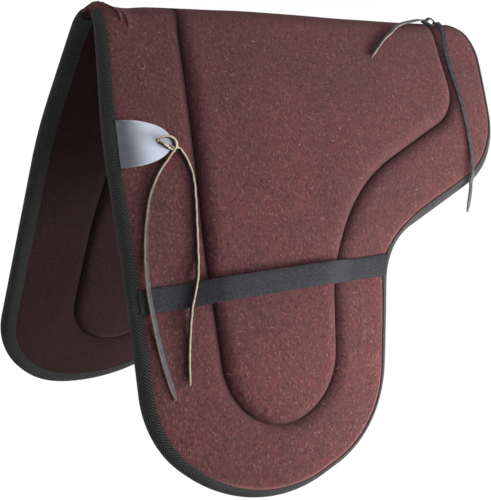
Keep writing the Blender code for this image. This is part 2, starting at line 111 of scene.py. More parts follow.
def linear(code):
    """A linear colour from an sRGB hex code."""
    levels = [int(code[i:i + 2], 16) / 255 for i in (0, 2, 4)]
    return tuple(v / 12.92 if v <= 0.04045 else ((v + 0.055) / 1.055) ** 2.4
                 for v in levels) + (1.0,)


def feed(owner, node, inputs):
    """Give each input a number, a colour code, or another node or one of its outputs."""
    for key, value in inputs.items():
        if isinstance(value, bpy.types.Node):
            value = next(output for output in value.outputs if output.enabled)
        if isinstance(value, bpy.types.NodeSocket):
            owner.node_tree.links.new(value, node.inputs[key])
        else:
            node.inputs[key].default_value = linear(value) if isinstance(value, str) else value


def add_node(owner, kind, inputs=None, stops=(), **settings):
    """Add a node to a material or the world, with its inputs, its settings and, where it is
    a colour ramp, its stops as (place, colour code)."""
    node = owner.node_tree.nodes.new(kind)
    for key, value in settings.items():
        setattr(node, key, value)
    for _ in stops[2:]:
        node.color_ramp.elements.new(0.5)
    for count, (place, code) in enumerate(stops):
        node.color_ramp.elements[count].position = place
        node.color_ramp.elements[count].color = linear(code)
    feed(owner, node, inputs or {})
    return node


def new_finish(name):
    """A new material and its shader."""
    material = bpy.data.materials.new(name)
    material.use_nodes = True
    return material, material.node_tree.nodes["Principled BSDF"]


def seen_directly(owner):
    """1 for rays from the camera, off a glossy surface or through a clear one."""
    ray = add_node(owner, "ShaderNodeLightPath").outputs
    either = add_node(owner, "ShaderNodeMath", {0: ray["Is Camera Ray"], 1: ray["Is Glossy Ray"]},
                      operation="MAXIMUM")
    return add_node(owner, "ShaderNodeMath", {0: either, 1: ray["Is Transmission Ray"]},
                    operation="MAXIMUM")


world = bpy.data.worlds.new("white_studio")
bpy.context.scene.world = world
world.use_nodes = True
brightness = add_node(world, "ShaderNodeMix", {0: seen_directly(world), 2: STUDIO_GREY, 3: 1.0},
                      data_type="FLOAT")
feed(world, world.node_tree.nodes["Background"], {"Color": "FFFFFF", "Strength": brightness})

bpy.ops.mesh.primitive_plane_add(size=FLOOR_SIZE,
                                 location=(0.0, 0.0, cad_box[0][2] - FLOOR_DROP))
floor = bpy.context.object
floor.name = "studio_floor"
floor_paint, paint_shader = new_finish("white_floor_paint")
feed(floor_paint, paint_shader,
     {"Base Color": "F2F2F2", "Roughness": 0.9, "Specular IOR Level": 0.1})
white = add_node(floor_paint, "ShaderNodeEmission", {"Color": "FFFFFF", "Strength": FLOOR_WHITE})
covered = add_node(floor_paint, "ShaderNodeMath",
                   {0: seen_directly(floor_paint), 1: FLOOR_SHARE}, operation="MULTIPLY")
feed(floor_paint, floor_paint.node_tree.nodes["Material Output"],
     {0: add_node(floor_paint, "ShaderNodeMixShader", {0: covered, 1: paint_shader, 2: white})})
floor.data.materials.append(floor_paint)


def soft_light(name, direction, distance, size, power):
    """A square soft light that stands off the pad's middle and faces it."""
    place = LIT_MIDDLE + Vector(direction).normalized() * distance
    bpy.ops.object.light_add(type="AREA", location=place)
    lamp = bpy.context.object
    lamp.name = name
    lamp.data.size = size
    lamp.data.energy = power
    lamp.rotation_euler = (LIT_MIDDLE - place).to_track_quat("-Z", "Y").to_euler()


soft_light("key_light", (0.84, -0.54, -0.11), 1.35, 0.36, 18.5)
soft_light("low_light", (0.14, -0.62, -0.27), 0.67, 0.24, 2.2)
soft_light("front_light", (0.30, -0.85, 0.10), 2.4, 0.8, 8.0)
soft_light("top_light", (0.1, 0.25, 1.0), 2.4, 1.6, 5.6)


# The felt's flat pattern and how it lies over the back. A pattern point is (x, s): x runs
# back from the front of the spine, s runs from the spine down a flap, along the felt.
LEFT, RIGHT = -1, 1
SIDES = ((LEFT, "left_"), (RIGHT, "right_"))
FLAP_BODY = {LEFT: "left_flap", RIGHT: "right_flap"}
SPINE_LENGTH = 0.574
CREST_RADIUS = 0.0313           # bend of the felt over the spine, at mid thickness
LEAN_TOP = {LEFT: 26.3, RIGHT: 24.0}    # lean of a flap from the vertical, degrees
LEAN_LOW = {LEFT: 15.3, RIGHT: 24.5}    # and near its lower end
LEAN_LOW_AT = 0.500
SWING = {LEFT: 0.0, RIGHT: 0.015}       # how far back a flap swings for its depth
CREST_RISE = 0.005              # half the pad's thickness beside the spine tape
SEAM_OPEN = 0.00003             # half of what is left between the flaps at their seam
REAR_SAG = 0.0062               # the spine sinks this much toward its rear,
REAR_SAG_FROM = 0.16            # from this far behind its front end
REAR_SAG_RUN = 0.34             # and over this length,
REAR_SAG_DEPTH = 0.2            # and the flaps follow it less down to this depth,
REAR_SAG_LOST = 0.7             # where they have lost this share of it
# Places where the felt stands off its plain form, as the height, the middle in x and the
# reach in x, the middle in s and the reach in s
FRONT_PEAK = (0.0075, 0.012, 0.0075, 0.0, 0.011)
FRONT_DIP = (0.0022, 0.046, 0.018, 0.0, 0.030)
FAR_CORNER = (0.0075, 0.015, 0.070, 0.57, 0.090)    # the right flap was cut longer here,
FAR_CORNER_LEAN = 0.35                              # and this share as much further forward


def clamped(value):
    """A value held between 0 and 1."""
    return min(1.0, max(0.0, value))


def eased(value):
    """0 below 0 and 1 above 1, with a smooth step between."""
    share = clamped(value)
    return share * share * (3 - 2 * share)


def bend(s, side):
    """Where the middle of the felt runs over the back: (y, z, turn) at s down a flap."""
    crest_turn = math.radians(90 - LEAN_TOP[side])
    crest = CREST_RADIUS * crest_turn
    turn = min(s, crest) / CREST_RADIUS
    y = CREST_RADIUS * math.sin(turn)
    z = -CREST_RADIUS * (1 - math.cos(turn))
    if s > crest:
        rate = math.radians(LEAN_TOP[side] - LEAN_LOW[side]) / (LEAN_LOW_AT - crest)
        half = rate * (s - crest) / 2
        chord = (s - crest) * (math.sin(half) / half if half else 1.0)
        y += chord * math.cos(turn + half)
        z -= chord * math.sin(turn + half)
        turn += 2 * half
    return y, z, turn


def stands_off(x, s, place):
    """How far the felt stands off at (x, s) for one of the places above."""
    height, x_middle, x_reach, s_middle, s_reach = place
    return height * math.exp(-((x - x_middle) / x_reach) ** 2 - ((s - s_middle) / s_reach) ** 2)


def sag(x, s):
    """How far the pad has settled toward its rear, where nothing holds the spine up, less
    the peak in which the felt stands at the spine's front end."""
    rear = (REAR_SAG * eased((x - REAR_SAG_FROM) / REAR_SAG_RUN)
            * (1 - REAR_SAG_LOST * eased(s / REAR_SAG_DEPTH)))
    return rear + stands_off(x, s, FRONT_DIP) - stands_off(x, s, FRONT_PEAK)


def drape(x, s, height, side):
    """The pattern point (x, s), raised by height off mid thickness, in space."""
    if side == RIGHT:
        stretch = stands_off(x, s, FAR_CORNER)
        x, s = x - FAR_CORNER_LEAN * stretch, s + stretch
    y, z, turn = bend(max(0.0, s), side)
    y += height * math.sin(turn)
    z += height * math.cos(turn) + CREST_RISE
    y = max(y, SEAM_OPEN)
    return Vector((x + SWING[side] * s - SPINE_LENGTH / 2, side * y, z - sag(x, s)))


# The felt: each flap is a wool felt quilt, 12 to 21 mm thick, of an outer felt and a
# lining needled hard and dyed maroon. A channel is stitched round the raised centre, and
# the rim outside it is filled and drawn in again under the edge binding.
FELT = 0.003                    # one sheet of felt
GAP = 0.0003                    # left between layers that are sewn together
TAPE_HALF = 0.006               # half the width of the tape over the seam
CENTRE_RISE = 0.0105            # half the thickness of the raised centre panel
RIM_RISE = 0.007
CREST_REACH = 0.060             # how far from the tape the panel takes to reach full height
GROOVE_REACH = 0.016            # how far the felt is drawn down beside the sewn channel
EDGE_REACH = 0.026              # and inside its bound edge
EDGE_IN = 0.0025                # the felt stops this far inside the outline of the binding
SEWN = FELT + GAP / 2           # half the thickness where the felts are sewn together
WORN_CREASE = 0.0006            # how softly the slopes of the felt meet
# Corners of a flap and of its channel as (x, s, radius), from the front of the spine round
FLAP = [
    (0.000, 0.000, 0.0), (-0.030, 0.166, 0.640), (-0.047, 0.488, 0.110),
    (0.071, 0.599, 0.185), (0.270, 0.540, 0.145), (0.334, 0.318, 0.100),
    (0.576, 0.226, 0.125), (0.608, 0.042, 0.065), (0.574, 0.000, 0.0),
]
CHANNEL = [
    (0.114, 0.000, 0.0), (0.098, 0.034, 0.060), (0.063, 0.300, 0.820), (0.055, 0.534, 0.075),
    (0.207, 0.480, 0.086), (0.255, 0.260, 0.245), (0.515, 0.149, 0.062),
    (0.524, 0.000, 0.0),
]
# The pad is skinned on a grid, in rows from the outline over the channel to the spine. The
# rows are matched at these depths and at the corners that are counted here.
CREST_DEPTHS = (0.0, TAPE_HALF, 0.018, 0.030)
LOWER_DEPTH = 0.400
MATCHED_CORNERS = (3, 4, 5, 6)
ROWS_PER_LEG = (4, 4, 4, 24, 42, 42, 40, 38, 30, 5, 5, 5)   # from each match to the next
SPINE_SHARES = (0.0, 0.012, 0.024, 0.036, 0.07, 0.11,       # where each match meets the spine
                0.27, 0.46, 0.91, 0.964, 0.976, 0.988, 1.0)
ARC_STEPS = 36                  # points round one corner of an outline
RIM_STEPS = 30                  # points of a row across the rim
SHOULDER_STEPS = 12             # and beside the channel
PANEL_STEPS = 26                # and up the panel
CREST_STEPS = 3                 # and between two depths at the spine
SQUARE_SHARE = 0.9              # how squarely a row leaves the edge and the channel


def pillow(distance, reach, low, high):
    """A felt surface that rises from a line of stitches like a quarter of an ellipse."""
    return low + (high - low) * math.sqrt(1 - (1 - clamped(distance / reach)) ** 2)


def crest(s):
    """Half the thickness that the spine seam allows at s."""
    if s < TAPE_HALF:
        return SEWN + (CREST_RISE - SEWN) * s / TAPE_HALF
    return pillow(s - TAPE_HALF, CREST_REACH, CREST_RISE, CENTRE_RISE)


def softly_least(*values):
    """The least of some rises, with the creases where they cross worn round."""
    least = min(values)
    return least - WORN_CREASE * math.log(sum(math.exp((least - value) / WORN_CREASE)
                                              for value in values))


def rounded_line(corners):
    """Points along a line whose corners are rounded, and where each corner's middle is."""
    places = [Vector(corner[:2]) for corner in corners]
    points = [places[0]]
    middles = [0]
    for before, at, after, corner in zip(places, places[1:], places[2:], corners[1:]):
        back = (before - at).normalized()
        on = (after - at).normalized()
        half = back.angle(on) / 2
        centre = at + (back + on).normalized() * corner[2] / math.sin(half)
        first = at + back * corner[2] / math.tan(half) - centre
        last = at + on * corner[2] / math.tan(half) - centre
        turn = math.atan2(first.x * last.y - first.y * last.x, first.dot(last))
        for step in range(ARC_STEPS + 1):
            points.append(centre + Matrix.Rotation(turn * step / ARC_STEPS, 2) @ first)
        middles.append(len(points) - 1 - ARC_STEPS // 2)
    points.append(places[-1])
    return points, middles


def run_to_depth(points, run, depth, rear):
    """How far along the line it first comes down to a depth or, at the rear, leaves it."""
    order = range(len(points) - 1)
    for i in reversed(order) if rear else order:
        a, b = points[i].y, points[i + 1].y
        if min(a, b) <= depth <= max(a, b) and a != b:
            return run[i] + (run[i + 1] - run[i]) * (depth - a) / (b - a)
    raise ValueError("the outline never reaches that depth")


def stations(corners):
    """Matched points along an outline, each with the normal that points inwards."""
    points, middles = rounded_line(corners)
    run = [0.0]
    for a, b in zip(points, points[1:]):
        run.append(run[-1] + (b - a).length)
    stops = [run_to_depth(points, run, depth, False) for depth in CREST_DEPTHS + (LOWER_DEPTH,)]
    stops += [run[middles[corner]] for corner in MATCHED_CORNERS]
    stops += [run_to_depth(points, run, depth, True) for depth in reversed(CREST_DEPTHS)]
    places = [stops[0]]
    for a, b, count in zip(stops, stops[1:], ROWS_PER_LEG):
        places += [a + (b - a) * step / count for step in range(1, count + 1)]
    found = []
    for place in places:
        i = max(k for k in range(len(run) - 1) if run[k] <= place or k == 0)
        share = (place - run[i]) / (run[i + 1] - run[i])
        along = (points[i + 1] - points[i]).normalized()
        inward = Vector((along.y, -along.x))
        point = points[i].lerp(points[i + 1], share)
        # Near the spine a normal is turned to run along it, so that the rows don't cross
        lies_flat = clamped((CREST_DEPTHS[-1] * 1.6 - point.y) / (CREST_DEPTHS[-1] * 0.6))
        flat = Vector((1 / inward.x, 0.0)) if abs(inward.x) > 0.3 else inward
        found.append((point, inward.lerp(flat, lies_flat)))
    return found


def rim_row(edge, inward, channel, outward):
    """Points (x, s, rise) across the rim, from the edge to the channel, closest at both."""
    width = (channel - edge).length
    row = []
    for step in range(RIM_STEPS + 1):
        share = (1 - math.cos(math.pi * step / RIM_STEPS)) / 2
        straight = edge.lerp(channel, share)
        square = edge + inward * (width * share) if share < 0.5 else (
            channel + outward * (width * (1 - share)))
        pull = abs(2 * share - 1) ** 2 * SQUARE_SHARE
        place = straight.lerp(square, pull if 0 < step < RIM_STEPS else 0.0)
        rise = softly_least(pillow(width * share, EDGE_REACH, SEWN, RIM_RISE),
                            pillow(width * (1 - share), GROOVE_REACH, SEWN, RIM_RISE),
                            crest(place.y))
        row.append((place.x, place.y, rise))
    return row


def centre_row(channel, inward, spine):
    """Points (x, s, rise) across the centre panel, from the channel to the spine."""
    shoulder = channel + inward * GROOVE_REACH
    row = []
    for step in range(1, SHOULDER_STEPS + 1):
        offset = GROOVE_REACH * (step / SHOULDER_STEPS) ** 1.6
        row.append((channel + inward * offset, offset))
    foot = [shoulder]
    for depth in reversed(CREST_DEPTHS[1:]):
        share = max(0.0, 1 - depth / shoulder.y) if shoulder.y else 0.0
        foot.append(shoulder.lerp(spine, share))
    foot.append(spine)
    for a, b, steps in zip(foot, foot[1:], (PANEL_STEPS,) + (CREST_STEPS,) * 3):
        row += [(a.lerp(b, (1 - math.cos(math.pi * step / steps)) / 2), GROOVE_REACH)
                for step in range(1, steps + 1)]
    return [(place.x, place.y,
             softly_least(pillow(offset, GROOVE_REACH, SEWN, CENTRE_RISE), crest(place.y)))
            for place, offset in row]


def pad_rows():
    """The pad's grid: each row runs from the outer edge over the channel to the spine. Its
    points are (x, s, rise, reach), with reach the distance from the channel, negative on
    the rim. Each row's edge and the normal there come with it."""
    edges = [(point + inward * EDGE_IN, inward) for point, inward in stations(FLAP)]
    channels = stations(CHANNEL)
    line = np.array([tuple(point) for point, normal in channels])

    def from_channel(x, s):
        """How far (x, s) lies from the channel's line of stitches."""
        return float(np.hypot(line[:, 0] - x, line[:, 1] - s).min())

    front, rear = (point.x + inward.x * GROOVE_REACH
                   for point, inward in (channels[0], channels[-1]))
    shares = [0.0]
    for a, b, count in zip(SPINE_SHARES, SPINE_SHARES[1:], ROWS_PER_LEG):
        shares += [a + (b - a) * step / count for step in range(1, count + 1)]
    grid = []
    for (edge, inward), (channel, normal), share in zip(edges, channels, shares):
        spine = Vector((front + (rear - front) * share, 0.0))
        row = rim_row(edge, inward, channel, -normal) + centre_row(channel, normal, spine)
        grid.append([(x, s, rise, from_channel(x, s) * (1 if i > RIM_STEPS else -1))
                     for i, (x, s, rise) in enumerate(row)])
    return grid, edges


rows, edges = pad_rows()


def wave(x, s, seed):
    """Slow unevenness of hand-filled felt, from -1 to 1."""
    return (math.sin(31 * x + 17 * s + seed) + math.sin(23 * x - 41 * s + 2 * seed)
            + math.sin(57 * x + 9 * s + 3 * seed) * 0.6) / 2.6


def skin(name, points, faces, map_places=None):
    """A new piece from its faces, turned outwards, with a UV map where it has one."""
    mesh = bpy.data.meshes.new(name)
    mesh.from_pydata(points, [], faces)
    if map_places:
        layer = mesh.uv_layers.new(name="cloth_metres")
        layer.data.foreach_set("uv", np.array(map_places, np.float32).ravel())
    shape = bmesh.new()
    shape.from_mesh(mesh)
    bmesh.ops.recalc_face_normals(shape, faces=shape.faces)
    shape.to_mesh(mesh)
    shape.free()
    mesh.shade_smooth()
    piece = bpy.data.objects.new(name, mesh)
    bpy.context.scene.collection.objects.link(piece)
    return piece


def sweep(name, rings):
    """Join rings of equally many points into one closed skin, with a UV map in metres
    along the rings and round them."""
    count = len(rings[0])
    middles = [sum(ring, Vector()) / count for ring in rings]
    along = [0.0]
    for a, b in zip(middles, middles[1:]):
        along.append(along[-1] + (b - a).length)
    ring = rings[len(rings) // 2]
    round_it = [0.0]
    for a, b in zip(ring, ring[1:] + ring[:1]):
        round_it.append(round_it[-1] + (b - a).length)
    faces, map_places = [], []
    for r in range(len(rings) - 1):
        near, far = r * count, (r + 1) * count
        for i in range(count):
            k = (i + 1) % count
            faces.append((near + i, near + k, far + k, far + i))
            map_places += [(along[r], round_it[i]), (along[r], round_it[i + 1]),
                           (along[r + 1], round_it[i + 1]), (along[r + 1], round_it[i])]
    for start in (0, (len(rings) - 1) * count):
        for i in range(count // 2 - 1):
            faces.append((start + i, start + i + 1, start + count - 2 - i, start + count - 1 - i))
            map_places += [(0.0, round_it[i])] * 4
    piece = skin(name, [point for ring in rings for point in ring], faces, map_places)
    piece.data.set_sharp_from_angle(angle=math.radians(50))
    return piece


def mark(piece, name, levels, domain="POINT"):
    """Keep a level for each point or face of a piece, which its finish reads by name."""
    piece.data.attributes.new(name, "FLOAT", domain).data.foreach_set("value", levels)


def pushed_about(material, places, reach):
    """Places pushed about by a coarse noise, so that specks lie unevenly."""
    noise = add_node(material, "ShaderNodeTexNoise", {"Vector": places, "Scale": 300.0})
    return add_node(material, "ShaderNodeVectorMath",
                    {0: noise.outputs["Color"], 1: (reach, reach, reach), 2: places},
                    operation="MULTIPLY_ADD")


def felt_finish(name, tones, pale_specks):
    """Needled wool felt, blend-dyed: short fibres of several reds and browns lie every way,
    so it is mottled at 1 to 2 mm and quite matt, with a faint bloom at the edge."""
    felt, shader = new_finish(name)
    dark, base, light, red, pale = tones
    places = add_node(felt, "ShaderNodeTexCoord").outputs["Object"]
    hanging = add_node(felt, "ShaderNodeMapping", {"Vector": places, "Scale": (1.0, 1.0, 0.55)})
    strands = add_node(felt, "ShaderNodeTexVoronoi",
                       {"Vector": pushed_about(felt, hanging, 0.0035), "Scale": 760.0})
    lot = add_node(felt, "ShaderNodeSeparateColor", {0: strands.outputs["Color"]}).outputs
    mottle = add_node(felt, "ShaderNodeTexNoise", {
        "Vector": hanging, "Scale": 290.0, "Detail": 5.0, "Roughness": 0.7, "Distortion": 0.9})
    mottled = add_node(felt, "ShaderNodeMath", {0: mottle, 1: 0.66}, operation="MULTIPLY")
    mixed = add_node(felt, "ShaderNodeMath", {0: lot[0], 1: 0.34, 2: mottled},
                     operation="MULTIPLY_ADD")
    wool = add_node(felt, "ShaderNodeValToRGB", {0: mixed},
                    stops=((0.30, dark), (0.45, base), (0.58, base), (0.70, light)))
    # Red strands lie together in patches of about a centimetre
    patches = add_node(felt, "ShaderNodeTexNoise",
                       {"Vector": places, "Scale": 95.0, "Detail": 3.0})
    patched = add_node(felt, "ShaderNodeMapRange", {0: patches, 1: 0.40, 2: 0.62},
                       interpolation_type="SMOOTHSTEP")
    reds = add_node(felt, "ShaderNodeMath", {0: lot[1], 1: patched}, operation="MULTIPLY")
    reddest = add_node(felt, "ShaderNodeMapRange", {0: reds, 1: 0.55, 2: 0.85},
                       interpolation_type="SMOOTHSTEP")
    wool = add_node(felt, "ShaderNodeMix", {0: reddest, 6: wool, 7: red}, data_type="RGBA")
    # The whole drifts a little darker and greyer over a hand's width
    drift = add_node(felt, "ShaderNodeTexNoise", {"Vector": places, "Scale": 11.0, "Detail": 3.0})
    drifted = add_node(felt, "ShaderNodeMapRange", {0: drift, 1: 0.35, 2: 0.65},
                       interpolation_type="SMOOTHSTEP")
    cloudy = add_node(felt, "ShaderNodeHueSaturation",
                      {"Saturation": 0.94, "Value": 0.88, "Color": wool})
    wool = add_node(felt, "ShaderNodeMix", {0: drifted, 6: cloudy, 7: wool}, data_type="RGBA")
    specks = add_node(felt, "ShaderNodeMapRange",
                      {0: lot[2], 1: pale_specks, 2: pale_specks + 0.05},
                      interpolation_type="SMOOTHSTEP")
    wool = add_node(felt, "ShaderNodeMix", {0: specks, 6: wool, 7: pale}, data_type="RGBA")
    # Painted shade darkens the felt beside the stitches, down in its grooves, and a painted
    # highlight pales it in a line beside the binding
    for marked, share, tone in (("groove_shade", 0.62, "1A0E0F"), ("edge_highlight", 0.5, "A8726C")):
        nap = add_node(felt, "ShaderNodeAttribute", attribute_name=marked).outputs["Fac"]
        painted_share = add_node(felt, "ShaderNodeMath", {0: nap, 1: share}, operation="MULTIPLY")
        wool = add_node(felt, "ShaderNodeMix", {0: painted_share, 6: wool, 7: tone}, data_type="RGBA")
    fibres = add_node(felt, "ShaderNodeTexNoise", {
        "Vector": hanging, "Scale": 800.0, "Detail": 6.0, "Roughness": 0.75, "Distortion": 1.5})
    fuzzy = add_node(felt, "ShaderNodeBump",
                     {"Height": fibres, "Distance": 0.0011, "Strength": 0.55})
    feed(felt, shader, {
        "Base Color": wool, "Normal": fuzzy, "Roughness": 1.0, "Specular IOR Level": 0.12,
        "Sheen Weight": 0.25, "Sheen Roughness": 0.6, "Sheen Tint": "B08A8A"})
    return felt


outer_felt = felt_finish("needled_wool_felt",
                         ("412A2B", "613A3B", "7C514F", "72383E", "A17D7A"), 0.975)
# The lining is dyed only a little darker than the outer felt: most of the darkness of these tones
# is painted shade, for the shade inside the pad
lining_felt = felt_finish("needled_lining_felt",
                          ("211415", "2F1D1E", "3D2829", "3A1F23", "5A4543"), 0.985)
CENTRE_SWELL = 0.0044           # how much fuller the outer felt stands than its filling
RIM_SWELL = 0.0034
SWELL_REACH = 0.022             # the felt swells out over this distance from the stitches
SPINE_SWELL = 0.17              # the share of its swell that it keeps at the spine,
SWELL_FROM = 0.03               # and how far down it starts to swell more
SWELL_OVER = 0.09               # and takes to swell in full
UNEVEN = 0.0005                 # how uneven it was filled by hand
LINING_SHARE = 0.35             # the lining has been pressed flatter against the back
STRAP_MIDDLE = 0.344            # the girth strap's middle, down the flap
STRAP_PRESS = 0.9               # how flat it presses the felt, and how far beside it
STRAP_PRESS_REACH = 0.030
# Painted shade darkens the felt beside the stitches, for the shade down in the grooves, this far
# on the centre panel and on the rim
PANEL_SHADE_REACH = 0.0032
RIM_SHADE_REACH = 0.0072
# A painted highlight pales the felt in a line beside the binding, where the rim's edge catches the
# light, from the lower front on round
HIGHLIGHT_OUT = 0.0012            # from the binding to the middle of the line
HIGHLIGHT_WIDTH = 0.0013
HIGHLIGHT_FROM = 0.25             # where it starts, as a share of the way round
HIGHLIGHT_FADE = 0.06


# How much of the outer face the binding covers, by the share of the way from the spine's
# front round to its rear: the rim bulges over the rest of it, most of all at the lower rear
SHOWN_WIDTHS = ((0.0, 0.0035), (0.042, 0.0045), (0.056, 0.0095), (0.20, 0.0092), (0.26, 0.0078),
                (0.33, 0.0068), (0.41, 0.0050), (0.50, 0.0052), (0.56, 0.0078), (0.64, 0.0078),
                (0.675, 0.0052), (0.71, 0.0092), (0.80, 0.0088), (0.86, 0.0072), (1.0, 0.0072))


def shown_width(row):
    """How much of the tape shows on the outer face at a row."""
    place = row / (len(rows) - 1)
    for (low, wide), (high, wider) in zip(SHOWN_WIDTHS, SHOWN_WIDTHS[1:]):
        if place <= high:
            return wide + (wider - wide) * eased((place - low) / (high - low))


def bend_with(piece):
    """Bake a piece's placing into its points. Where the spine tape lies and how it turns are
    worked out, but nothing uses them.
    """
    tape_z, tape_turn = bend(TAPE_HALF, LEFT)[1:]
    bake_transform(piece)


def felt_layer(node, side, material, low, high):
    """One of a flap's two felts, as a closed skin over the whole grid."""
    rings, strap_press_and_groove_shade, edge_lit = [], [], []
    for count, row in enumerate(rows):
        upper = [drape(x, s, high(x, s, rise, reach), side) for x, s, rise, reach in row]
        lower = [drape(x, s, low(x, s, rise, reach), side) for x, s, rise, reach in row]
        rings.append(upper + lower[::-1])
        # Painted shade beside the stitches, darkest at them
        dark = [math.exp(-abs(reach) / (PANEL_SHADE_REACH if reach > 0 else RIM_SHADE_REACH))
                for x, s, rise, reach in row]
        strap_press_and_groove_shade += dark + dark[::-1]
        # Painted highlight in a line beside the binding's inner edge
        middle = shown_width(count) + HIGHLIGHT_OUT
        shows = eased((count / len(rows) - HIGHLIGHT_FROM) / HIGHLIGHT_FADE)
        pale = [shows * math.exp(-((math.dist(point[:2], row[0][:2]) - middle)
                                   / HIGHLIGHT_WIDTH) ** 2) for point in row]
        edge_lit += pale + pale[::-1]
    piece = sweep(node + "_quilt", rings)
    piece.data.materials.append(material)
    mark(piece, "groove_shade", strap_press_and_groove_shade)
    mark(piece, "edge_highlight", edge_lit)
    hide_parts(node)
    bend_with(piece)


def outer_height(x, s, rise, reach, share=1.0):
    """How high a felt stands over mid thickness: swollen between its stitches, uneven by hand,
    held down beside the spine and flattened under the girth strap."""
    free = clamped((rise - SEWN) / (RIM_RISE - SEWN))
    swell = ((CENTRE_SWELL if reach > 0 else RIM_SWELL) * free
             * (1 - (1 - clamped(abs(reach) / SWELL_REACH)) ** 2)
             * (SPINE_SWELL + (1 - SPINE_SWELL) * eased((s - SWELL_FROM) / SWELL_OVER)))
    uneven = UNEVEN * free * (1 + wave(x, s, 1.0))
    strap_press_and_groove_shade = STRAP_PRESS * math.exp(-((s - STRAP_MIDDLE) / STRAP_PRESS_REACH) ** 2)
    return rise + (swell * share + uneven) * (1 - strap_press_and_groove_shade)


def lining_height(x, s, rise, reach):
    """How far the lining stands from mid thickness, on its own side."""
    return outer_height(x, s, rise, reach, LINING_SHARE)


for side, word in SIDES:
    felt_layer(word + "outer_felt", side, outer_felt,
               lambda x, s, rise, reach: rise - FELT, outer_height)
    felt_layer(word + "lining_felt", side, lining_felt,
               lambda x, s, rise, reach: -lining_height(x, s, rise, reach),
               lambda x, s, rise, reach: FELT - rise)


felt_places = np.array([(x, s) for row in rows for x, s, rise, reach in row])
felt_heights = np.array([outer_height(*point) for row in rows for point in row])


def felt_top(x, s):
    """How high the outer felt stands over mid thickness at any place on the pattern."""
    apart = ((felt_places - (x, s)) ** 2).sum(axis=1)
    weights = 1 / (apart + 1e-6) ** 2
    return float((weights * felt_heights).sum() / weights.sum())


# Two tucks at the spine's front end, where spare felt was gathered up before it was bound.
# Each is a crease down the near flap with the felt behind it standing proud.
# It is given by its top and foot in (x, s), its bow, how far back it dies away, its height.
TUCKS = (((0.0150, 0.0090), (0.0220, 0.0330), 0.0030, 0.014, 0.0030),
         ((0.0270, 0.0160), (0.0300, 0.0400), 0.0010, 0.018, 0.0024))
TUCK_STEPS = 24
CREASE = 0.1                    # the share of a tuck's width in which its crease rises
TUCK_UNDER = 0.0008             # a tuck starts this far inside the felt
TUCK_OVER = 0.0001              # and its thin edges end this far out of it


def tuck(name, top, foot, bow, dies, proud):
    """One tuck: steep along its crease and fading away behind it."""
    rings = []
    for step in range(TUCK_STEPS + 1):
        share = step / TUCK_STEPS
        x0 = top[0] + (foot[0] - top[0]) * share + bow * math.sin(math.pi * share)
        s = top[1] + (foot[1] - top[1]) * share
        fullness = math.sin(math.pi * (0.04 + 0.92 * share)) ** 0.7
        under, over = [], []
        for part in (0.0, 0.02, 0.05, 0.1, 0.2, 0.35, 0.55, 0.75, 1.0):
            x = x0 + dies * part
            bulge = proud * fullness * min(1.0, (part / CREASE) ** 0.5) * (1 - part) ** 1.6
            lies = felt_top(x, s)
            under.append(drape(x, s, lies - TUCK_UNDER, LEFT))
            over.append(drape(x, s, lies + TUCK_OVER + bulge, LEFT))
        rings.append(under + over[::-1])
    piece = sweep(name, rings)
    piece.data.materials.append(outer_felt)
    bend_with(piece)


for count, measures in enumerate(TUCKS):
    tuck(f"left_felt_tuck_{count + 1}", *measures)


# Stray fibres: single guard hairs and curls of pale wool that have worked out of the felt and
# lie loose on it. They are drawn about 0.4 mm thick, coarser than real ones.
FIBRE_THICK = 0.00042
FIBRE_LOOP = 0.0006             # a fibre's middle stands this far off the felt
SHORT_FIBRES = 95               # on each flap
SHORT_LENGTHS = (0.002, 0.007)
SHORT_CURL = 3.0                # how far one turns at most, either way
# The longest ones near enough where they lie, as (x, s, turn, length, curl)
LONG_FIBRES = ((0.035, 0.083, 0.4, 0.020, 5.4), (0.062, 0.088, 1.0, 0.008, 1.0),
               (0.055, 0.345, 0.2, 0.030, 2.4), (0.150, 0.425, 1.2, 0.016, 4.4),
               (0.245, 0.152, 1.5, 0.010, -1.6), (0.130, 0.185, 1.3, 0.012, 1.8),
               (0.175, 0.060, 0.1, 0.012, 2.8), (0.120, 0.395, -0.6, 0.014, 2.0))


def fibre_rings(x, s, turn, length, curl, steps):
    """A fine curl on the felt: a square section swept along an arc that turns by curl."""
    rings = []
    for step in range(steps + 1):
        arch = math.sin(math.pi * step / steps)
        lies = felt_top(x, s) + FIBRE_THICK * 0.6 + FIBRE_LOOP * arch
        thick = FIBRE_THICK * (0.5 + 0.5 * arch)
        rings.append([(x - math.sin(turn) * thick * a, s + math.cos(turn) * thick * a,
                       lies + thick * h)
                      for a, h in ((0.5, -0.3), (-0.5, -0.3), (-0.25, 0.4), (0.25, 0.4))])
        x += length / steps * math.cos(turn)
        s += length / steps * math.sin(turn)
        turn += curl / steps
    return rings


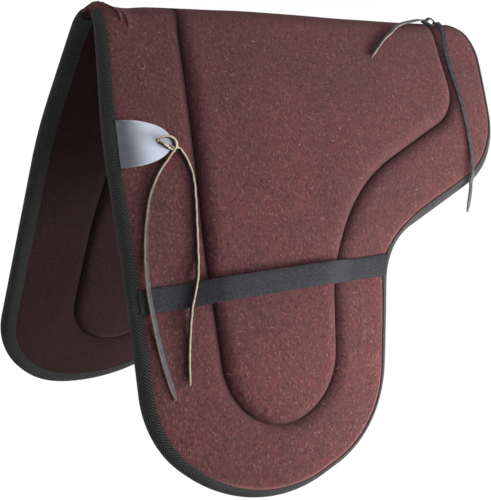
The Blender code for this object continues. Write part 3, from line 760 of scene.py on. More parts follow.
def stray_fibres(name, side, seed):
    """All of a flap's stray fibres as one piece."""
    chance = random.Random(seed)
    fibres = list(LONG_FIBRES) if side == LEFT else []
    # The short ones lie well inside the binding, off the stitches and clear of the spine
    open_felt = [(x, s) for row in rows[12:-12] for x, s, rise, reach in row[5:-10]
                 if s > 0.04 and abs(reach) > 0.004]
    for _ in range(SHORT_FIBRES):
        x, s = chance.choice(open_felt)
        fibres.append((x, s, chance.uniform(0.0, 6.3), chance.uniform(*SHORT_LENGTHS),
                       chance.uniform(-SHORT_CURL, SHORT_CURL)))
    points, faces = [], []
    for fibre in fibres:
        rings = fibre_rings(*fibre, 12 if fibre[3] > SHORT_LENGTHS[1] else 5)
        start = len(points)
        points += [drape(x, s, height, side) for ring in rings for x, s, height in ring]
        last = start + 4 * (len(rings) - 1)
        for near in range(start, last, 4):
            faces += [(near + i, near + (i + 1) % 4, near + 4 + (i + 1) % 4, near + 4 + i)
                      for i in range(4)]
        faces += [(start + 3, start + 2, start + 1, start), (last, last + 1, last + 2, last + 3)]
    piece = skin(name, points, faces)
    piece.data.materials.append(pale_wool)
    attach(piece, FLAP_BODY[side])


pale_wool, wool_shader = new_finish("stray_pale_wool_fibre")
feed(pale_wool, wool_shader,
     {"Base Color": "BD9D99", "Roughness": 0.9, "Specular IOR Level": 0.15})
for (side, word), seed in zip(SIDES, (5, 6)):
    stray_fibres(word + "stray_fibres", side, seed)


# The edge binding: a charcoal herringbone twill tape, folded over the felt's edge from the
# front of the spine to its rear and stitched through near both of its selvedges.
BINDING_WIDTH = 0.0155          # of the inner leg; the outer one shows less
BINDING_THICK = 0.0012
SELVEDGE = 0.0006
FIRST_BOUND_ROW = 7             # the felt's cut edge shows at the spine's front end
# Lines along a leg, as shares of its width in from the edge, and how thick the tape is there
BINDING_SHARES = (1.0, 1.0 - SELVEDGE / BINDING_WIDTH, 0.8, 0.58, 0.39, 0.23, 0.1)
BINDING_LIFTS = (0.25, 1.0, 1.0, 1.0, 1.0, 1.0, 1.0)
NOSE_LINES = 8                  # the fold round the edge is drawn in this many steps
NOSE_OUT = 1.3                  # and bulges this many thicknesses beyond it
HERRINGBONE = 0.0052            # width of one stripe of the twill
RIB = 0.0034                    # from one rib to the next
RIB_LEAN = 1.5


def cloth_metres(material):
    """A cloth's own metres: along it and across it."""
    own = add_node(material, "ShaderNodeUVMap", uv_map="cloth_metres")
    return add_node(material, "ShaderNodeSeparateXYZ", {0: own}).outputs[:2]


def twill_finish(name):
    """Cotton herringbone tape, dyed charcoal: fine ribs lean one way, then the other, in
    stripes along the tape. The ribs are drawn 3.4 mm apart, coarser than real ones."""
    tape, shader = new_finish(name)
    along, across = cloth_metres(tape)
    stripe = add_node(tape, "ShaderNodeMath", {0: across, 1: HERRINGBONE}, operation="PINGPONG")
    lean = add_node(tape, "ShaderNodeMath", {0: stripe, 1: RIB_LEAN, 2: along},
                    operation="MULTIPLY_ADD")
    turns = add_node(tape, "ShaderNodeMath", {0: lean, 1: 2 * math.pi / RIB},
                     operation="MULTIPLY")
    ribs = add_node(tape, "ShaderNodeMath", {0: turns}, operation="SINE")
    places = add_node(tape, "ShaderNodeTexCoord").outputs["Object"]
    fuzz = add_node(tape, "ShaderNodeTexNoise",
                    {"Vector": places, "Scale": 900.0, "Detail": 4.0, "Roughness": 0.7})
    level = add_node(tape, "ShaderNodeMath", {0: ribs, 1: 0.24, 2: fuzz},
                     operation="MULTIPLY_ADD")
    cotton = add_node(tape, "ShaderNodeValToRGB", {0: level},
                      stops=((0.25, "191919"), (0.5, "333333"), (0.78, "525252")))
    wear_and_tip_reflection = add_node(tape, "ShaderNodeTexNoise", {"Vector": places, "Scale": 30.0, "Detail": 3.0})
    worn_and_reflection_mask = add_node(tape, "ShaderNodeMapRange", {0: wear_and_tip_reflection, 1: 0.45, 2: 0.75},
                    interpolation_type="SMOOTHSTEP")
    faded = add_node(tape, "ShaderNodeHueSaturation", {"Value": 1.25, "Color": cotton})
    cotton = add_node(tape, "ShaderNodeMix", {0: worn_and_reflection_mask, 6: cotton, 7: faded}, data_type="RGBA")
    ribbed = add_node(tape, "ShaderNodeBump",
                      {"Height": level, "Distance": 0.0004, "Strength": 0.7})
    feed(tape, shader, {
        "Base Color": cotton, "Normal": ribbed, "Roughness": 0.9, "Specular IOR Level": 0.2,
        "Sheen Weight": 0.15, "Sheen Roughness": 0.5, "Sheen Tint": "8A8C90"})
    return tape


twill = twill_finish("herringbone_cotton_tape")


def face_at_inset(row, edge, inset, height):
    """Where a felt's face lies at an inset from the edge, read along a row."""
    last = (Vector(row[0][:2]), row[0])
    for point in row:
        place = Vector(point[:2])
        if (place - edge).length >= inset:
            reach = (place - edge).length - (last[0] - edge).length
            share = (inset - (last[0] - edge).length) / reach if reach else 0.0
            x, s, rise, reach = (a + (b - a) * share for a, b in zip(last[1], point))
            return x, s, height(x, s, rise, reach)
        last = (place, point)
    return last[1][:3]


def edge_binding(node, side):
    """The tape round one flap: a leg on each face with a thin selvedge, and a round nose."""
    nose = SEWN + GAP + BINDING_THICK
    rings = []
    for count, (row, (edge, inward)) in list(enumerate(zip(rows, edges)))[FIRST_BOUND_ROW:]:
        face = [face_at_inset(row, edge, shown_width(count) * share, outer_height)
                for share in BINDING_SHARES]
        lined = [face_at_inset(row, edge, BINDING_WIDTH * share, lining_height)
                 for share in BINDING_SHARES]
        outside = [drape(x, s, h + GAP / 2 + BINDING_THICK * lift, side)
                   for (x, s, h), lift in zip(face, BINDING_LIFTS)]
        round_it = []
        for step in range(1, NOSE_LINES):
            angle = math.radians(90 - 180 / NOSE_LINES * step)
            place = edge - inward * (GAP + BINDING_THICK * NOSE_OUT * math.cos(angle))
            round_it.append(drape(place.x, place.y, nose * math.sin(angle), side))
        inside = [drape(x, s, -h - GAP / 2 - BINDING_THICK * lift, side)
                  for (x, s, h), lift in zip(lined, BINDING_LIFTS)]
        back = [drape(x, s, -h - GAP / 4, side) for x, s, h in lined]
        front = [drape(x, s, h + GAP / 4, side) for x, s, h in face]
        turn = [drape(*(edge - inward * GAP), height, side) for height in (-SEWN, 0.0, SEWN)]
        rings.append(outside + round_it + inside[::-1] + back + turn + front[::-1])
    piece = sweep(node + "_tape", rings)
    piece.data.materials.append(twill)
    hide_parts(node)
    bend_with(piece)


for side, word in SIDES:
    edge_binding(word + "edge_binding", side)


# The girth strap: one-inch charcoal webbing laid across the flap, its ends sewn under the
# binding, standing clear of the centre panel so that a girth passes behind it.
STRAP_TOP = 0.331
STRAP_WIDTH = 0.026
STRAP_THICK = 0.0016
STRAP_STAND = 0.0085            # how far it stands off the centre panel
STRAP_LAND = 0.055              # how much of each end lies on the rim
STRAP_RAMP = 0.055              # and over what length it climbs from there
STRAP_OFF = 0.0010              # it lies this far off the rim
STRAP_TUCKED = 0.002            # and this far under the binding
STRAP_STEPS = 90
# Lines along the strap, as shares of its width, and how thick it is there
STRAP_SHARES = (0.0, 0.03, 0.25, 0.5, 0.75, 0.97, 1.0)
STRAP_BODY = (0.35, 1.0, 0.92, 0.95, 0.92, 1.0, 0.35)
WARP = 0.0024                   # from one yarn to the next, across the webbing
WEFT = 0.0018                   # and along it


def webbing_finish(name):
    """Woven polypropylene webbing, charcoal, its shine rubbed off: a tight plain weave of flat
    yarns, drawn about 2 mm apart, coarser than real ones."""
    belt, shader = new_finish(name)
    along, across = cloth_metres(belt)
    warp, weft = (add_node(belt, "ShaderNodeMath", {
        0: add_node(belt, "ShaderNodeMath", {0: way, 1: 2 * math.pi / apart},
                    operation="MULTIPLY")}, operation="SINE")
        for way, apart in ((across, WARP), (along, WEFT)))
    weave = add_node(belt, "ShaderNodeMath", {0: warp, 1: weft}, operation="MULTIPLY")
    places = add_node(belt, "ShaderNodeTexCoord").outputs["Object"]
    fuzz = add_node(belt, "ShaderNodeTexNoise",
                    {"Vector": places, "Scale": 500.0, "Detail": 4.0, "Roughness": 0.7})
    level = add_node(belt, "ShaderNodeMath", {0: weave, 1: 0.16, 2: fuzz},
                     operation="MULTIPLY_ADD")
    yarn = add_node(belt, "ShaderNodeValToRGB", {0: level},
                    stops=((0.25, "212225"), (0.5, "333338"), (0.8, "4F4F55")))
    woven = add_node(belt, "ShaderNodeBump",
                     {"Height": level, "Distance": 0.0003, "Strength": 0.6})
    feed(belt, shader, {"Base Color": yarn, "Normal": woven, "Roughness": 0.85,
                        "Specular IOR Level": 0.15})
    return belt


webbing = webbing_finish("woven_polypropylene_webbing")


def inner_edge_x(depth, rear):
    """x of the binding's inner edge at a depth, at the front or the rear of the flap."""
    line = [face_at_inset(row, edge, shown_width(count), outer_height)
            for count, (row, (edge, inward)) in enumerate(zip(rows, edges))]
    steps = list(zip(line, line[1:]))
    for a, b in reversed(steps) if rear else steps:
        if min(a[1], b[1]) <= depth <= max(a[1], b[1]) and b[0] > (0.2 if rear else -1):
            return a[0] + (b[0] - a[0]) * (depth - a[1]) / (b[1] - a[1])
    raise ValueError("the edge never reaches that depth")


def strap_height(from_end):
    """The strap lies on the rim, then climbs to stand clear of the centre panel."""
    climb = CENTRE_RISE + STRAP_STAND - RIM_RISE
    return RIM_RISE + STRAP_OFF + climb * eased((from_end - STRAP_LAND) / STRAP_RAMP)


def girth_strap(node, side):
    """The webbing of one flap, with rounded selvedges."""
    lines_along = []
    for share, body in zip(STRAP_SHARES, STRAP_BODY):
        depth = STRAP_TOP + STRAP_WIDTH * share
        lines_along.append((depth, inner_edge_x(depth, False) - STRAP_TUCKED,
                            inner_edge_x(depth, True) + STRAP_TUCKED, body))
    rings = []
    for step in range(STRAP_STEPS + 1):
        under, over = [], []
        for depth, front, rear, body in lines_along:
            x = front + (rear - front) * step / STRAP_STEPS
            height = strap_height(min(x - front, rear - x))
            under.append(drape(x, depth, height + STRAP_THICK * (1 - body) / 2, side))
            over.append(drape(x, depth, height + STRAP_THICK * (1 + body) / 2, side))
        rings.append(under + over[::-1])
    piece = sweep(node + "_webbing", rings)
    piece.data.materials.append(webbing)
    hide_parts(node)
    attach(piece, FLAP_BODY[side])


for side, word in SIDES:
    girth_strap(word + "girth_strap", side)


# The spine tape: the same herringbone tape, 12 mm wide, sewn flat over the seam that joins
# the two flaps. It starts a binding's width behind the front end and ends at the rear binding.
TAPE_THICK = 0.0012
TAPE_SELVEDGE = 0.4             # how thick its edges are, as a share of that
TAPE_PUCKER = 0.00025
PUCKER_TURNS = 900              # the stitches draw it up every 7 mm
TAPE_STEPS = 140
TAPE_LINES = 8                  # lines along it, on each side of its middle


def spine_tape(node):
    """The tape over the spine's seam, with thin selvedges and a slightly puckered run."""
    front, rear = (face_at_inset(rows[end], edges[end][0], inset, outer_height)[0]
                   for end, inset in ((0, BINDING_WIDTH), (-1, shown_width(len(rows) - 1) + GAP)))
    rings = []
    for step in range(TAPE_STEPS + 1):
        x = front + (rear - front) * step / TAPE_STEPS
        under, over = [], []
        for k in range(-TAPE_LINES, TAPE_LINES + 1):
            share = k / TAPE_LINES
            side = LEFT if share < 0 else RIGHT
            y, z, turn = bend(abs(share) * TAPE_HALF, side)
            pucker = TAPE_PUCKER * (1 + math.sin(x * PUCKER_TURNS) * abs(share))
            thick = TAPE_THICK * (TAPE_SELVEDGE if abs(k) == TAPE_LINES else 1.0)
            for height, line in ((CREST_RISE + GAP, under),
                                 (CREST_RISE + GAP + pucker + thick, over)):
                line.append(Vector((x - SPINE_LENGTH / 2, side * (y + height * math.sin(turn)),
                                    z + height * math.cos(turn) + CREST_RISE - sag(x, 0.0))))
        rings.append(under + over[::-1])
    piece = sweep(node + "_sewn", rings)
    piece.data.materials.append(twill)
    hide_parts(node)
    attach(piece, "spine")


spine_tape("spine_tape")


# The lace tabs: half ovals of thick bridle leather, sewn in under the front binding of each
# flap. Each is punched with a slot near its tip, has rounded and burnished edges, and lifts
# off the felt where its lace pulls at it.
TAB_DOWN = 0.176                # the tab's centre line, down the flap
TAB_WIDTH = 0.053
TAB_TIP = 0.0445                # the tip, back from the front of the spine
TAB_THICK = 0.0024
TAB_LIFT = 0.0038
TAB_ROUND = 2.2                 # power of the curve that rounds the tab off
TAB_HEM = 0.0010                # leather that laps onto the binding
TAB_EASE = 0.0007               # how much its cut edges are rounded
TAB_CUP = 0.0009                # how far its sides curl down toward the tip
REFLECTION_FROM = 0.12                # a painted reflection pales it from this share of its length
REFLECTION_OVER = 0.6
SLOT_LENGTH = 0.014
SLOT_WIDTH = 0.0075
SLOT_LAND = 0.006               # leather left between the slot and the tip
SLOT_DROP = 0.003
PUNCH = 0.2                     # radius of the slot's ring before it is shaped


def bridle_finish(name):
    """Bridle leather, drum dyed near black and waxed: a fine grain, a soft cool shine, and a
    painted reflection of the light that pales it toward the tip."""
    leather, shader = new_finish(name)
    places = add_node(leather, "ShaderNodeTexCoord").outputs["Object"]
    mottle = add_node(leather, "ShaderNodeTexNoise",
                      {"Vector": places, "Scale": 70.0, "Detail": 4.0, "Roughness": 0.6})
    hide = add_node(leather, "ShaderNodeValToRGB", {0: mottle},
                    stops=((0.3, "191E2A"), (0.55, "272D3D"), (0.75, "343B4F")))
    # Painted reflection: toward the tip the hide is mixed to a pale blue white, for the light it
    # reflects
    worn_and_reflection_mask = add_node(leather, "ShaderNodeAttribute", attribute_name="wear_and_tip_reflection").outputs["Fac"]
    hide = add_node(leather, "ShaderNodeMix", {0: worn_and_reflection_mask, 6: hide, 7: "DCE4F6"}, data_type="RGBA")
    grain = add_node(leather, "ShaderNodeTexVoronoi",
                     {"Vector": pushed_about(leather, places, 0.002), "Scale": 900.0})
    grained = add_node(leather, "ShaderNodeBump", {
        "Height": grain.outputs["Distance"], "Distance": 0.00025, "Strength": 0.35})
    feed(leather, shader, {
        "Base Color": hide, "Normal": grained, "Roughness": 0.34, "Specular IOR Level": 0.8,
        "IOR": 1.5, "Coat Weight": 0.4, "Coat Roughness": 0.3})
    return leather


bridle = bridle_finish("waxed_bridle_leather")


def facing(s, side):
    """The direction straight out of the felt at s down a flap."""
    turn = bend(s, side)[2]
    return Vector((0.0, side * math.sin(turn), math.cos(turn)))


def lace_tab(node, side):
    """A tab cut from a ring: the outer loop becomes the half oval and the inner the slot."""
    base_x = inner_edge_x(TAB_DOWN, False)
    length = TAB_TIP - base_x
    turn = bend(TAB_DOWN, side)[2]
    down = Vector((SWING[side], side * math.cos(turn), -math.sin(turn)))
    bpy.ops.object.select_all(action="DESELECT")
    bpy.ops.mesh.primitive_circle_add(vertices=72, radius=1.0, location=(0.0, 0.0, 0.0))
    piece = bpy.context.object
    piece.name = node + "_leather"
    bpy.ops.object.mode_set(mode="EDIT")
    bpy.ops.mesh.primitive_circle_add(vertices=72, radius=PUNCH, location=(0.0, 0.0, 0.0))
    bpy.ops.mesh.select_all(action="SELECT")
    bpy.ops.mesh.bridge_edge_loops(number_cuts=9)
    bpy.ops.object.mode_set(mode="OBJECT")
    half = TAB_WIDTH / 2
    base = [inner_edge_x(TAB_DOWN + b, False) - base_x for b in (-half, half)]
    slot_middle = length - SLOT_LAND - SLOT_LENGTH / 2
    for point in piece.data.vertices:
        radius = math.hypot(point.co.x, point.co.y)
        cosine, sine = point.co.x / radius, point.co.y / radius
        b = half * math.copysign(abs(sine) ** (2 / TAB_ROUND), sine)
        a = length * max(0.0, cosine) ** (2 / TAB_ROUND)
        if cosine < 0:
            a = base[0] + (base[1] - base[0]) * (b / TAB_WIDTH + 0.5) - TAB_HEM
        outer = Vector((a, b, 0.0))
        bulge = math.copysign((SLOT_LENGTH - SLOT_WIDTH) / 2, cosine)
        slot = Vector((slot_middle + bulge + SLOT_WIDTH / 2 * cosine,
                       SLOT_DROP + SLOT_WIDTH / 2 * sine, 0.0))
        point.co = slot.lerp(outer, max(0.0, (radius - PUNCH) / (1 - PUNCH)))
    thicken = piece.modifiers.new("cut_thickness", "SOLIDIFY")
    thicken.thickness = TAB_THICK
    thicken.offset = 1.0
    bpy.ops.object.modifier_apply(modifier=thicken.name)
    ease = piece.modifiers.new("edged_corners", "BEVEL")
    ease.width = TAB_EASE
    ease.segments = 3
    ease.limit_method = "ANGLE"
    bpy.ops.object.modifier_apply(modifier=ease.name)
    origin = drape(base_x, TAB_DOWN, 0.0, side)
    out = facing(TAB_DOWN, side)
    levels = []
    for point in piece.data.vertices:
        a, b, height = point.co
        toward_tip = clamped(a / length)
        # How much painted reflection pales the leather, growing toward the tip
        levels.append(eased((toward_tip - REFLECTION_FROM) / REFLECTION_OVER))
        cup = TAB_CUP * (b / half) ** 2 * toward_tip
        lies = felt_top(base_x + a, TAB_DOWN + b) + GAP
        point.co = (origin + Vector((a, 0.0, 0.0)) + down * b
                    + out * (lies + abs(height) + TAB_LIFT * toward_tip ** 1.5 - cup))
    mark(piece, "wear_and_tip_reflection", levels)
    bpy.ops.object.mode_set(mode="EDIT")
    bpy.ops.mesh.select_all(action="SELECT")
    bpy.ops.mesh.normals_make_consistent(inside=False)
    bpy.ops.object.mode_set(mode="OBJECT")
    bpy.ops.object.shade_smooth_by_angle(angle=math.radians(50))
    piece.data.materials.append(bridle)
    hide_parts(node)
    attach(piece, FLAP_BODY[side])
    piece.select_set(False)


for side, word in SIDES:
    lace_tab(word + "lace_tab", side)


# The laces: flat thongs cut from dark oiled hide about 6 mm wide and 2 mm thick, with raw
# tan edges. Two hang from the knot in each leather tab, a short and a long one from the
# knot at the rear of the spine. They lie loose on the felt, some flat and some on edge.
LACE_WIDTH = 0.0064
LACE_THICK = 0.0020
LACE_SINKS = 0.0004             # a lace presses this far into the felt's nap
LACE_STEP = 0.0025
LACE_TIP = 0.012                # the last stretch is cut to a point
LACE_UNEVEN = 0.12              # how much its width wanders, as it was cut by hand
# A section through a lace, in half widths and half thicknesses, with its corners eased
LACE_CORNERS = ((-0.92, -1), (0, -1.04), (0.92, -1), (1, -0.6), (1, 0.6), (0.92, 1),
                (0, 1.04), (-0.92, 1), (-1, 0.6), (-1, -0.6))
RAW_LINES = (2, 3, 4, 7, 8, 9)  # the faces of a section that lie on its cut edges
# Routes as (x, s, height over the felt, roll), where a roll of 90 stands on edge
FRONT_END = [
    (0.0470, 0.1855, 0.0048, 85), (0.0360, 0.1970, 0.0039, 80), (0.0210, 0.2120, 0.0036, 75),
    (0.0060, 0.2350, 0.0033, 55), (-0.0030, 0.2580, 0.0030, 45), (-0.0110, 0.2850, 0.0028, 40),
    (-0.0170, 0.3150, 0.0049, 35), (-0.0190, 0.3450, 0.0062, 30), (-0.0180, 0.3800, 0.0035, 25),
    (-0.0150, 0.4120, 0.0014, 20), (-0.0090, 0.4480, 0.0006, 20),
]
REAR_END = [
    (0.0530, 0.1855, 0.0048, 85), (0.0600, 0.1980, 0.0032, 85), (0.0640, 0.2160, 0.0028, 85),
    (0.0610, 0.2400, 0.0032, 85), (0.0550, 0.2700, 0.0031, 85), (0.0490, 0.3000, 0.0031, 85),
    (0.0400, 0.3310, 0.0066, 85), (0.0260, 0.3640, 0.0054, 80), (0.0170, 0.3960, 0.0027, 80),
    (0.0120, 0.4180, 0.0024, 80), (0.0100, 0.4360, 0.0023, 80),
]
REAR_SHORT_END = [
    (0.5185, 0.0105, 0.0052, -15), (0.5080, 0.0125, 0.0058, -15), (0.4870, 0.0160, 0.0046, -15),
    (0.4630, 0.0210, 0.0036, -30), (0.4410, 0.0290, 0.0030, -55), (0.4180, 0.0410, 0.0026, -70),
    (0.3990, 0.0550, 0.0024, -75), (0.3780, 0.0730, 0.0020, -75),
]
REAR_LONG_END = [
    (0.5415, 0.0145, 0.0050, -10), (0.5400, 0.0240, 0.0046, -10), (0.5330, 0.0440, 0.0038, -10),
    (0.5290, 0.0750, 0.0030, -5), (0.5290, 0.1180, 0.0023, 0), (0.5270, 0.1600, 0.0020, 5),
    (0.5220, 0.1980, 0.0024, 5), (0.5140, 0.2280, 0.0039, 10), (0.5030, 0.2540, 0.0071, 15),
    (0.4840, 0.2910, 0.0035, 20),
]


def lace_finish(name):
    """Oiled latigo hide, cut with a draw knife: near black and slightly waxy on its grain
    face, raw and tan along its cut edges."""
    lace, shader = new_finish(name)
    places = add_node(lace, "ShaderNodeTexCoord").outputs["Object"]
    cut = add_node(lace, "ShaderNodeAttribute", attribute_name="cut_edge").outputs["Fac"]
    mottle = add_node(lace, "ShaderNodeTexNoise",
                      {"Vector": places, "Scale": 160.0, "Detail": 4.0, "Roughness": 0.6})
    face = add_node(lace, "ShaderNodeValToRGB", {0: mottle},
                    stops=((0.35, "23252A"), (0.6, "3B3F47"), (0.78, "565B66")))
    grain = add_node(lace, "ShaderNodeTexNoise",
                     {"Vector": places, "Scale": 420.0, "Detail": 5.0, "Roughness": 0.7})
    raw = add_node(lace, "ShaderNodeValToRGB", {0: grain},
                   stops=((0.3, "8E7C66"), (0.5, "C9B79C"), (0.75, "E6D9C4")))
    wavering = add_node(lace, "ShaderNodeMath", {0: mottle, 1: 0.5, 2: cut},
                        operation="MULTIPLY_ADD")
    edge = add_node(lace, "ShaderNodeMapRange", {0: wavering, 1: 0.60, 2: 1.15},
                    interpolation_type="SMOOTHSTEP")
    hide = add_node(lace, "ShaderNodeMix", {0: edge, 6: face, 7: raw}, data_type="RGBA")
    pores = add_node(lace, "ShaderNodeTexNoise",
                     {"Vector": places, "Scale": 900.0, "Detail": 4.0, "Roughness": 0.6})
    grained = add_node(lace, "ShaderNodeBump",
                       {"Height": pores, "Distance": 0.0002, "Strength": 0.5})
    feed(lace, shader, {"Base Color": hide, "Normal": grained, "Roughness": 0.62,
                        "Specular IOR Level": 0.3, "IOR": 1.5})
    return lace


lace_hide = lace_finish("oiled_latigo_lace")


def lace_section(centre, wide, thin, width, thick):
    """One section through a flat lace."""
    return [centre + wide * (width / 2 * a) + thin * (thick / 2 * b) for a, b in LACE_CORNERS]


def mark_cut_edges(piece, sections, raw):
    """Mark the two narrow sides of a lace, which the leather shows raw. raw says how little
    dye they took, at the knot and at the tip."""
    corners = len(LACE_CORNERS)
    values = []
    for polygon in piece.data.polygons:
        level = raw[0] + (raw[1] - raw[0]) * eased(2 * polygon.index / (sections * corners))
        cut = polygon.index % corners in RAW_LINES and polygon.index < sections * corners
        values.append(level if cut else 0.0)
    mark(piece, "cut_edge", values, "FACE")


def lace_frames(route, side, apart=LACE_STEP, lies=False):
    """Close-set (centre, width direction, thickness direction) along a smooth route. A free
    end that lies on the felt is held off it by its own half width, as far as it rolls."""
    ends = [route[0]] + route + [route[-1]]
    smooth = []
    for p, q, r, t in zip(ends, ends[1:], ends[2:], ends[3:]):
        steps = max(1, round(math.dist(q[:3], r[:3]) / apart))
        for step in range(steps):
            u = step / steps
            weights = (-0.5 * u + u * u - 0.5 * u ** 3, 1 - 2.5 * u * u + 1.5 * u ** 3,
                       0.5 * u + 2 * u * u - 1.5 * u ** 3, -0.5 * u * u + 0.5 * u ** 3)
            smooth.append([sum(w * c for w, c in zip(weights, four)) for four in zip(p, q, r, t)])
    smooth.append(list(route[-1]))
    if lies:
        for point in smooth:
            roll = math.radians(abs(point[3]))
            rests = (LACE_WIDTH * math.sin(roll) + LACE_THICK * math.cos(roll)) / 2
            point[2] = max(point[2], rests - LACE_SINKS)
    centres = [drape(x, s, h + felt_top(x, s), side) for x, s, h, roll in smooth]
    frames = []
    for i, (x, s, h, roll) in enumerate(smooth):
        along = (centres[min(i + 1, len(centres) - 1)] - centres[max(i - 1, 0)]).normalized()
        flat = along.cross(facing(s, side)).normalized()
        up = flat.cross(along).normalized()
        lean = math.radians(roll)
        wide = flat * math.cos(lean) + up * math.sin(lean)
        frames.append((centres[i], wide, wide.cross(along).normalized()))
    return frames


def free_lace(node, side, route, seed, raw=(1.0, 1.0)):
    """One free end of a lace, from its knot to the point it is cut to."""
    chance = random.Random(seed)
    frames = lace_frames(route, side, lies=True)
    centres = [centre for centre, wide, thin in frames]
    length = sum((b - a).length for a, b in zip(centres, centres[1:]))
    run = 0.0
    rings = []
    wander = 0.0
    for i, (centre, wide, thin) in enumerate(frames):
        if i:
            run += (centre - centres[i - 1]).length
        wander = 0.8 * wander + 0.2 * chance.uniform(-1, 1)
        left_over = min(1.0, (length - run) / LACE_TIP)
        width = LACE_WIDTH * (0.25 + 0.75 * left_over) * (1 + LACE_UNEVEN * wander)
        rings.append(lace_section(centre, wide, thin, width, LACE_THICK * (0.8 + 0.2 * left_over)))
    piece = sweep(node + "_thong", rings)
    mark_cut_edges(piece, len(rings) - 1, raw)
    piece.data.materials.append(lace_hide)
    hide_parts(node)
    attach(piece, FLAP_BODY[side])


for side, word in SIDES:
    free_lace(word + "lace_front_end", side, FRONT_END, 11)
    free_lace(word + "lace_rear_end", side, REAR_END, 12)
free_lace("rear_lace_short_end", LEFT, REAR_SHORT_END, 13, raw=(0.2, 0.6))
free_lace("rear_lace_long_end", LEFT, REAR_LONG_END, 14, raw=(0.4, 0.6))


# The knots: each front lace goes down through its tab's slot, round under the tip and back
# over it in an open loop, and is tied in a half knot. The rear lace comes out of the pad
# beside the spine in a small standing loop. All are the same oiled hide as the free ends.
TAB_LOOP = [
    (0.0290, 0.1770, 0.0017, 80), (0.0272, 0.1758, 0.0059, 85), (0.0300, 0.1738, 0.0091, 88),
    (0.0356, 0.1727, 0.0099, 88), (0.0420, 0.1735, 0.0095, 88), (0.0470, 0.1762, 0.0084, 86),
    (0.0495, 0.1805, 0.0070, 84), (0.0490, 0.1848, 0.0058, 82), (0.0450, 0.1868, 0.0050, 80),
    (0.0400, 0.1860, 0.0058, 84), (0.0350, 0.1833, 0.0079, 86), (0.0300, 0.1790, 0.0079, 86),
    (0.0276, 0.1766, 0.0047, 84), (0.0290, 0.1775, 0.0017, 80),
]
TAB_CROSSING = [
    (0.0440, 0.1748, 0.0046, 80), (0.0458, 0.1772, 0.0086, 86), (0.0466, 0.1805, 0.0094, 88),
    (0.0472, 0.1838, 0.0076, 86), (0.0468, 0.1862, 0.0050, 85), (0.0455, 0.1880, 0.0036, 85),
]
TAB_LEAVING = [
    (0.0415, 0.1815, 0.0044, 70), (0.0445, 0.1838, 0.0056, 80), (0.0490, 0.1846, 0.0058, 85),
    (0.0535, 0.1860, 0.0048, 85), (0.0550, 0.1885, 0.0040, 85),
]
TAB_UNDER = [
    (0.0280, 0.1770, 0.0021, 20), (0.0330, 0.1785, 0.0017, 5), (0.0400, 0.1800, 0.0018, 5),
    (0.0455, 0.1815, 0.0026, 20), (0.0485, 0.1835, 0.0040, 60),
]
REAR_RING = [
    (0.5215, 0.0130, 0.0038, 15), (0.5212, 0.0120, 0.0070, 0), (0.5245, 0.0114, 0.0094, 0),
    (0.5295, 0.0112, 0.0098, 0), (0.5345, 0.0120, 0.0080, 0), (0.5370, 0.0133, 0.0052, 10),
    (0.5365, 0.0148, 0.0024, 20),
]
REAR_STRAND = [
    (0.5165, 0.0108, 0.0042, 88), (0.5205, 0.0112, 0.0039, 80), (0.5245, 0.0128, 0.0050, 60),
    (0.5290, 0.0150, 0.0024, 40), (0.5345, 0.0158, 0.0021, 45), (0.5390, 0.0150, 0.0032, 55),
    (0.5415, 0.0148, 0.0038, 60), (0.5420, 0.0165, 0.0040, 60),
]
KNOT_STEP = 0.0011              # the sections of a tied strip lie this far apart
TAB_KNOT_WIDTH = 0.0046         # a tied lace is pulled narrower than its free end
REAR_KNOT_WIDTH = 0.0050


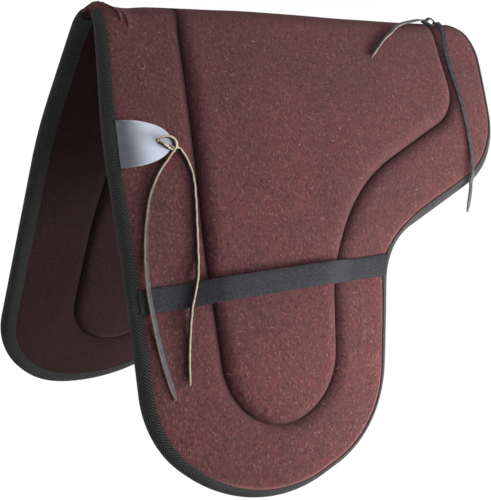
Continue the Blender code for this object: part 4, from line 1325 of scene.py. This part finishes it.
def tied_strips(node, side, runs, width, raw=1.0):
    """Short runs of lace, tied together as one piece."""
    bpy.ops.object.select_all(action="DESELECT")
    strips = []
    for count, route in enumerate(runs):
        rings = [lace_section(centre, wide, thin, width, LACE_THICK)
                 for centre, wide, thin in lace_frames(route, side, KNOT_STEP)]
        strip = sweep(f"{node}_run_{count}" if count else f"{node}_tied", rings)
        mark_cut_edges(strip, len(rings) - 1, (raw, raw))
        strip.select_set(True)
        strips.append(strip)
    piece = strips[0]
    bpy.context.view_layer.objects.active = piece
    bpy.ops.object.join()
    piece.data.materials.append(lace_hide)
    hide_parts(node)
    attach(piece, FLAP_BODY[side])
    piece.select_set(False)


for side, word in SIDES:
    tied_strips(word + "lace_knot", side, (TAB_LOOP, TAB_CROSSING, TAB_LEAVING, TAB_UNDER),
                TAB_KNOT_WIDTH)
tied_strips("rear_lace_knot", LEFT, (REAR_RING, REAR_STRAND), REAR_KNOT_WIDTH, raw=0.45)


# The fill: carded wool batting inside the rim and firmer wool inserts in the centre panels.
# Both are closed in by the felts, so they are plain forms with a loose woolly finish.


def batting_finish(name):
    """Carded wool batting, undyed: pale, cloudy and matt."""
    wool, shader = new_finish(name)
    places = add_node(wool, "ShaderNodeTexCoord").outputs["Object"]
    clouds = add_node(wool, "ShaderNodeTexNoise", {
        "Vector": places, "Scale": 120.0, "Detail": 6.0, "Roughness": 0.7, "Distortion": 1.0})
    undyed = add_node(wool, "ShaderNodeValToRGB", {0: clouds},
                      stops=((0.3, "8A8078"), (0.6, "B5ABA0"), (0.8, "CFC7BC")))
    carded = add_node(wool, "ShaderNodeBump",
                      {"Height": clouds, "Distance": 0.001, "Strength": 0.6})
    feed(wool, shader, {"Base Color": undyed, "Normal": carded, "Roughness": 1.0,
                        "Specular IOR Level": 0.1})
    return wool


batting = batting_finish("carded_wool_batting")


def batting_piece(node, side, picked_rows, first, last):
    """The fill between the felts of one part of a flap."""
    rings = []
    for row in picked_rows:
        points = [(x, s, rise - FELT - GAP) for x, s, rise, reach in row[first:last]]
        rings.append([drape(x, s, h, side) for x, s, h in points]
                     + [drape(x, s, -h, side) for x, s, h in points[::-1]])
    piece = sweep(node + "_batting", rings)
    piece.data.materials.append(batting)
    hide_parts(node)
    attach(piece, FLAP_BODY[side])


# A filler keeps clear of the binding and the stitches, an insert of the stitches and the spine
for side, word in SIDES:
    batting_piece(word + "rim_filler", side, rows[4:-4:3], 3, RIM_STEPS - 2)
    batting_piece(word + "centre_insert", side, rows[14:-14:3], RIM_STEPS + 3, -7)
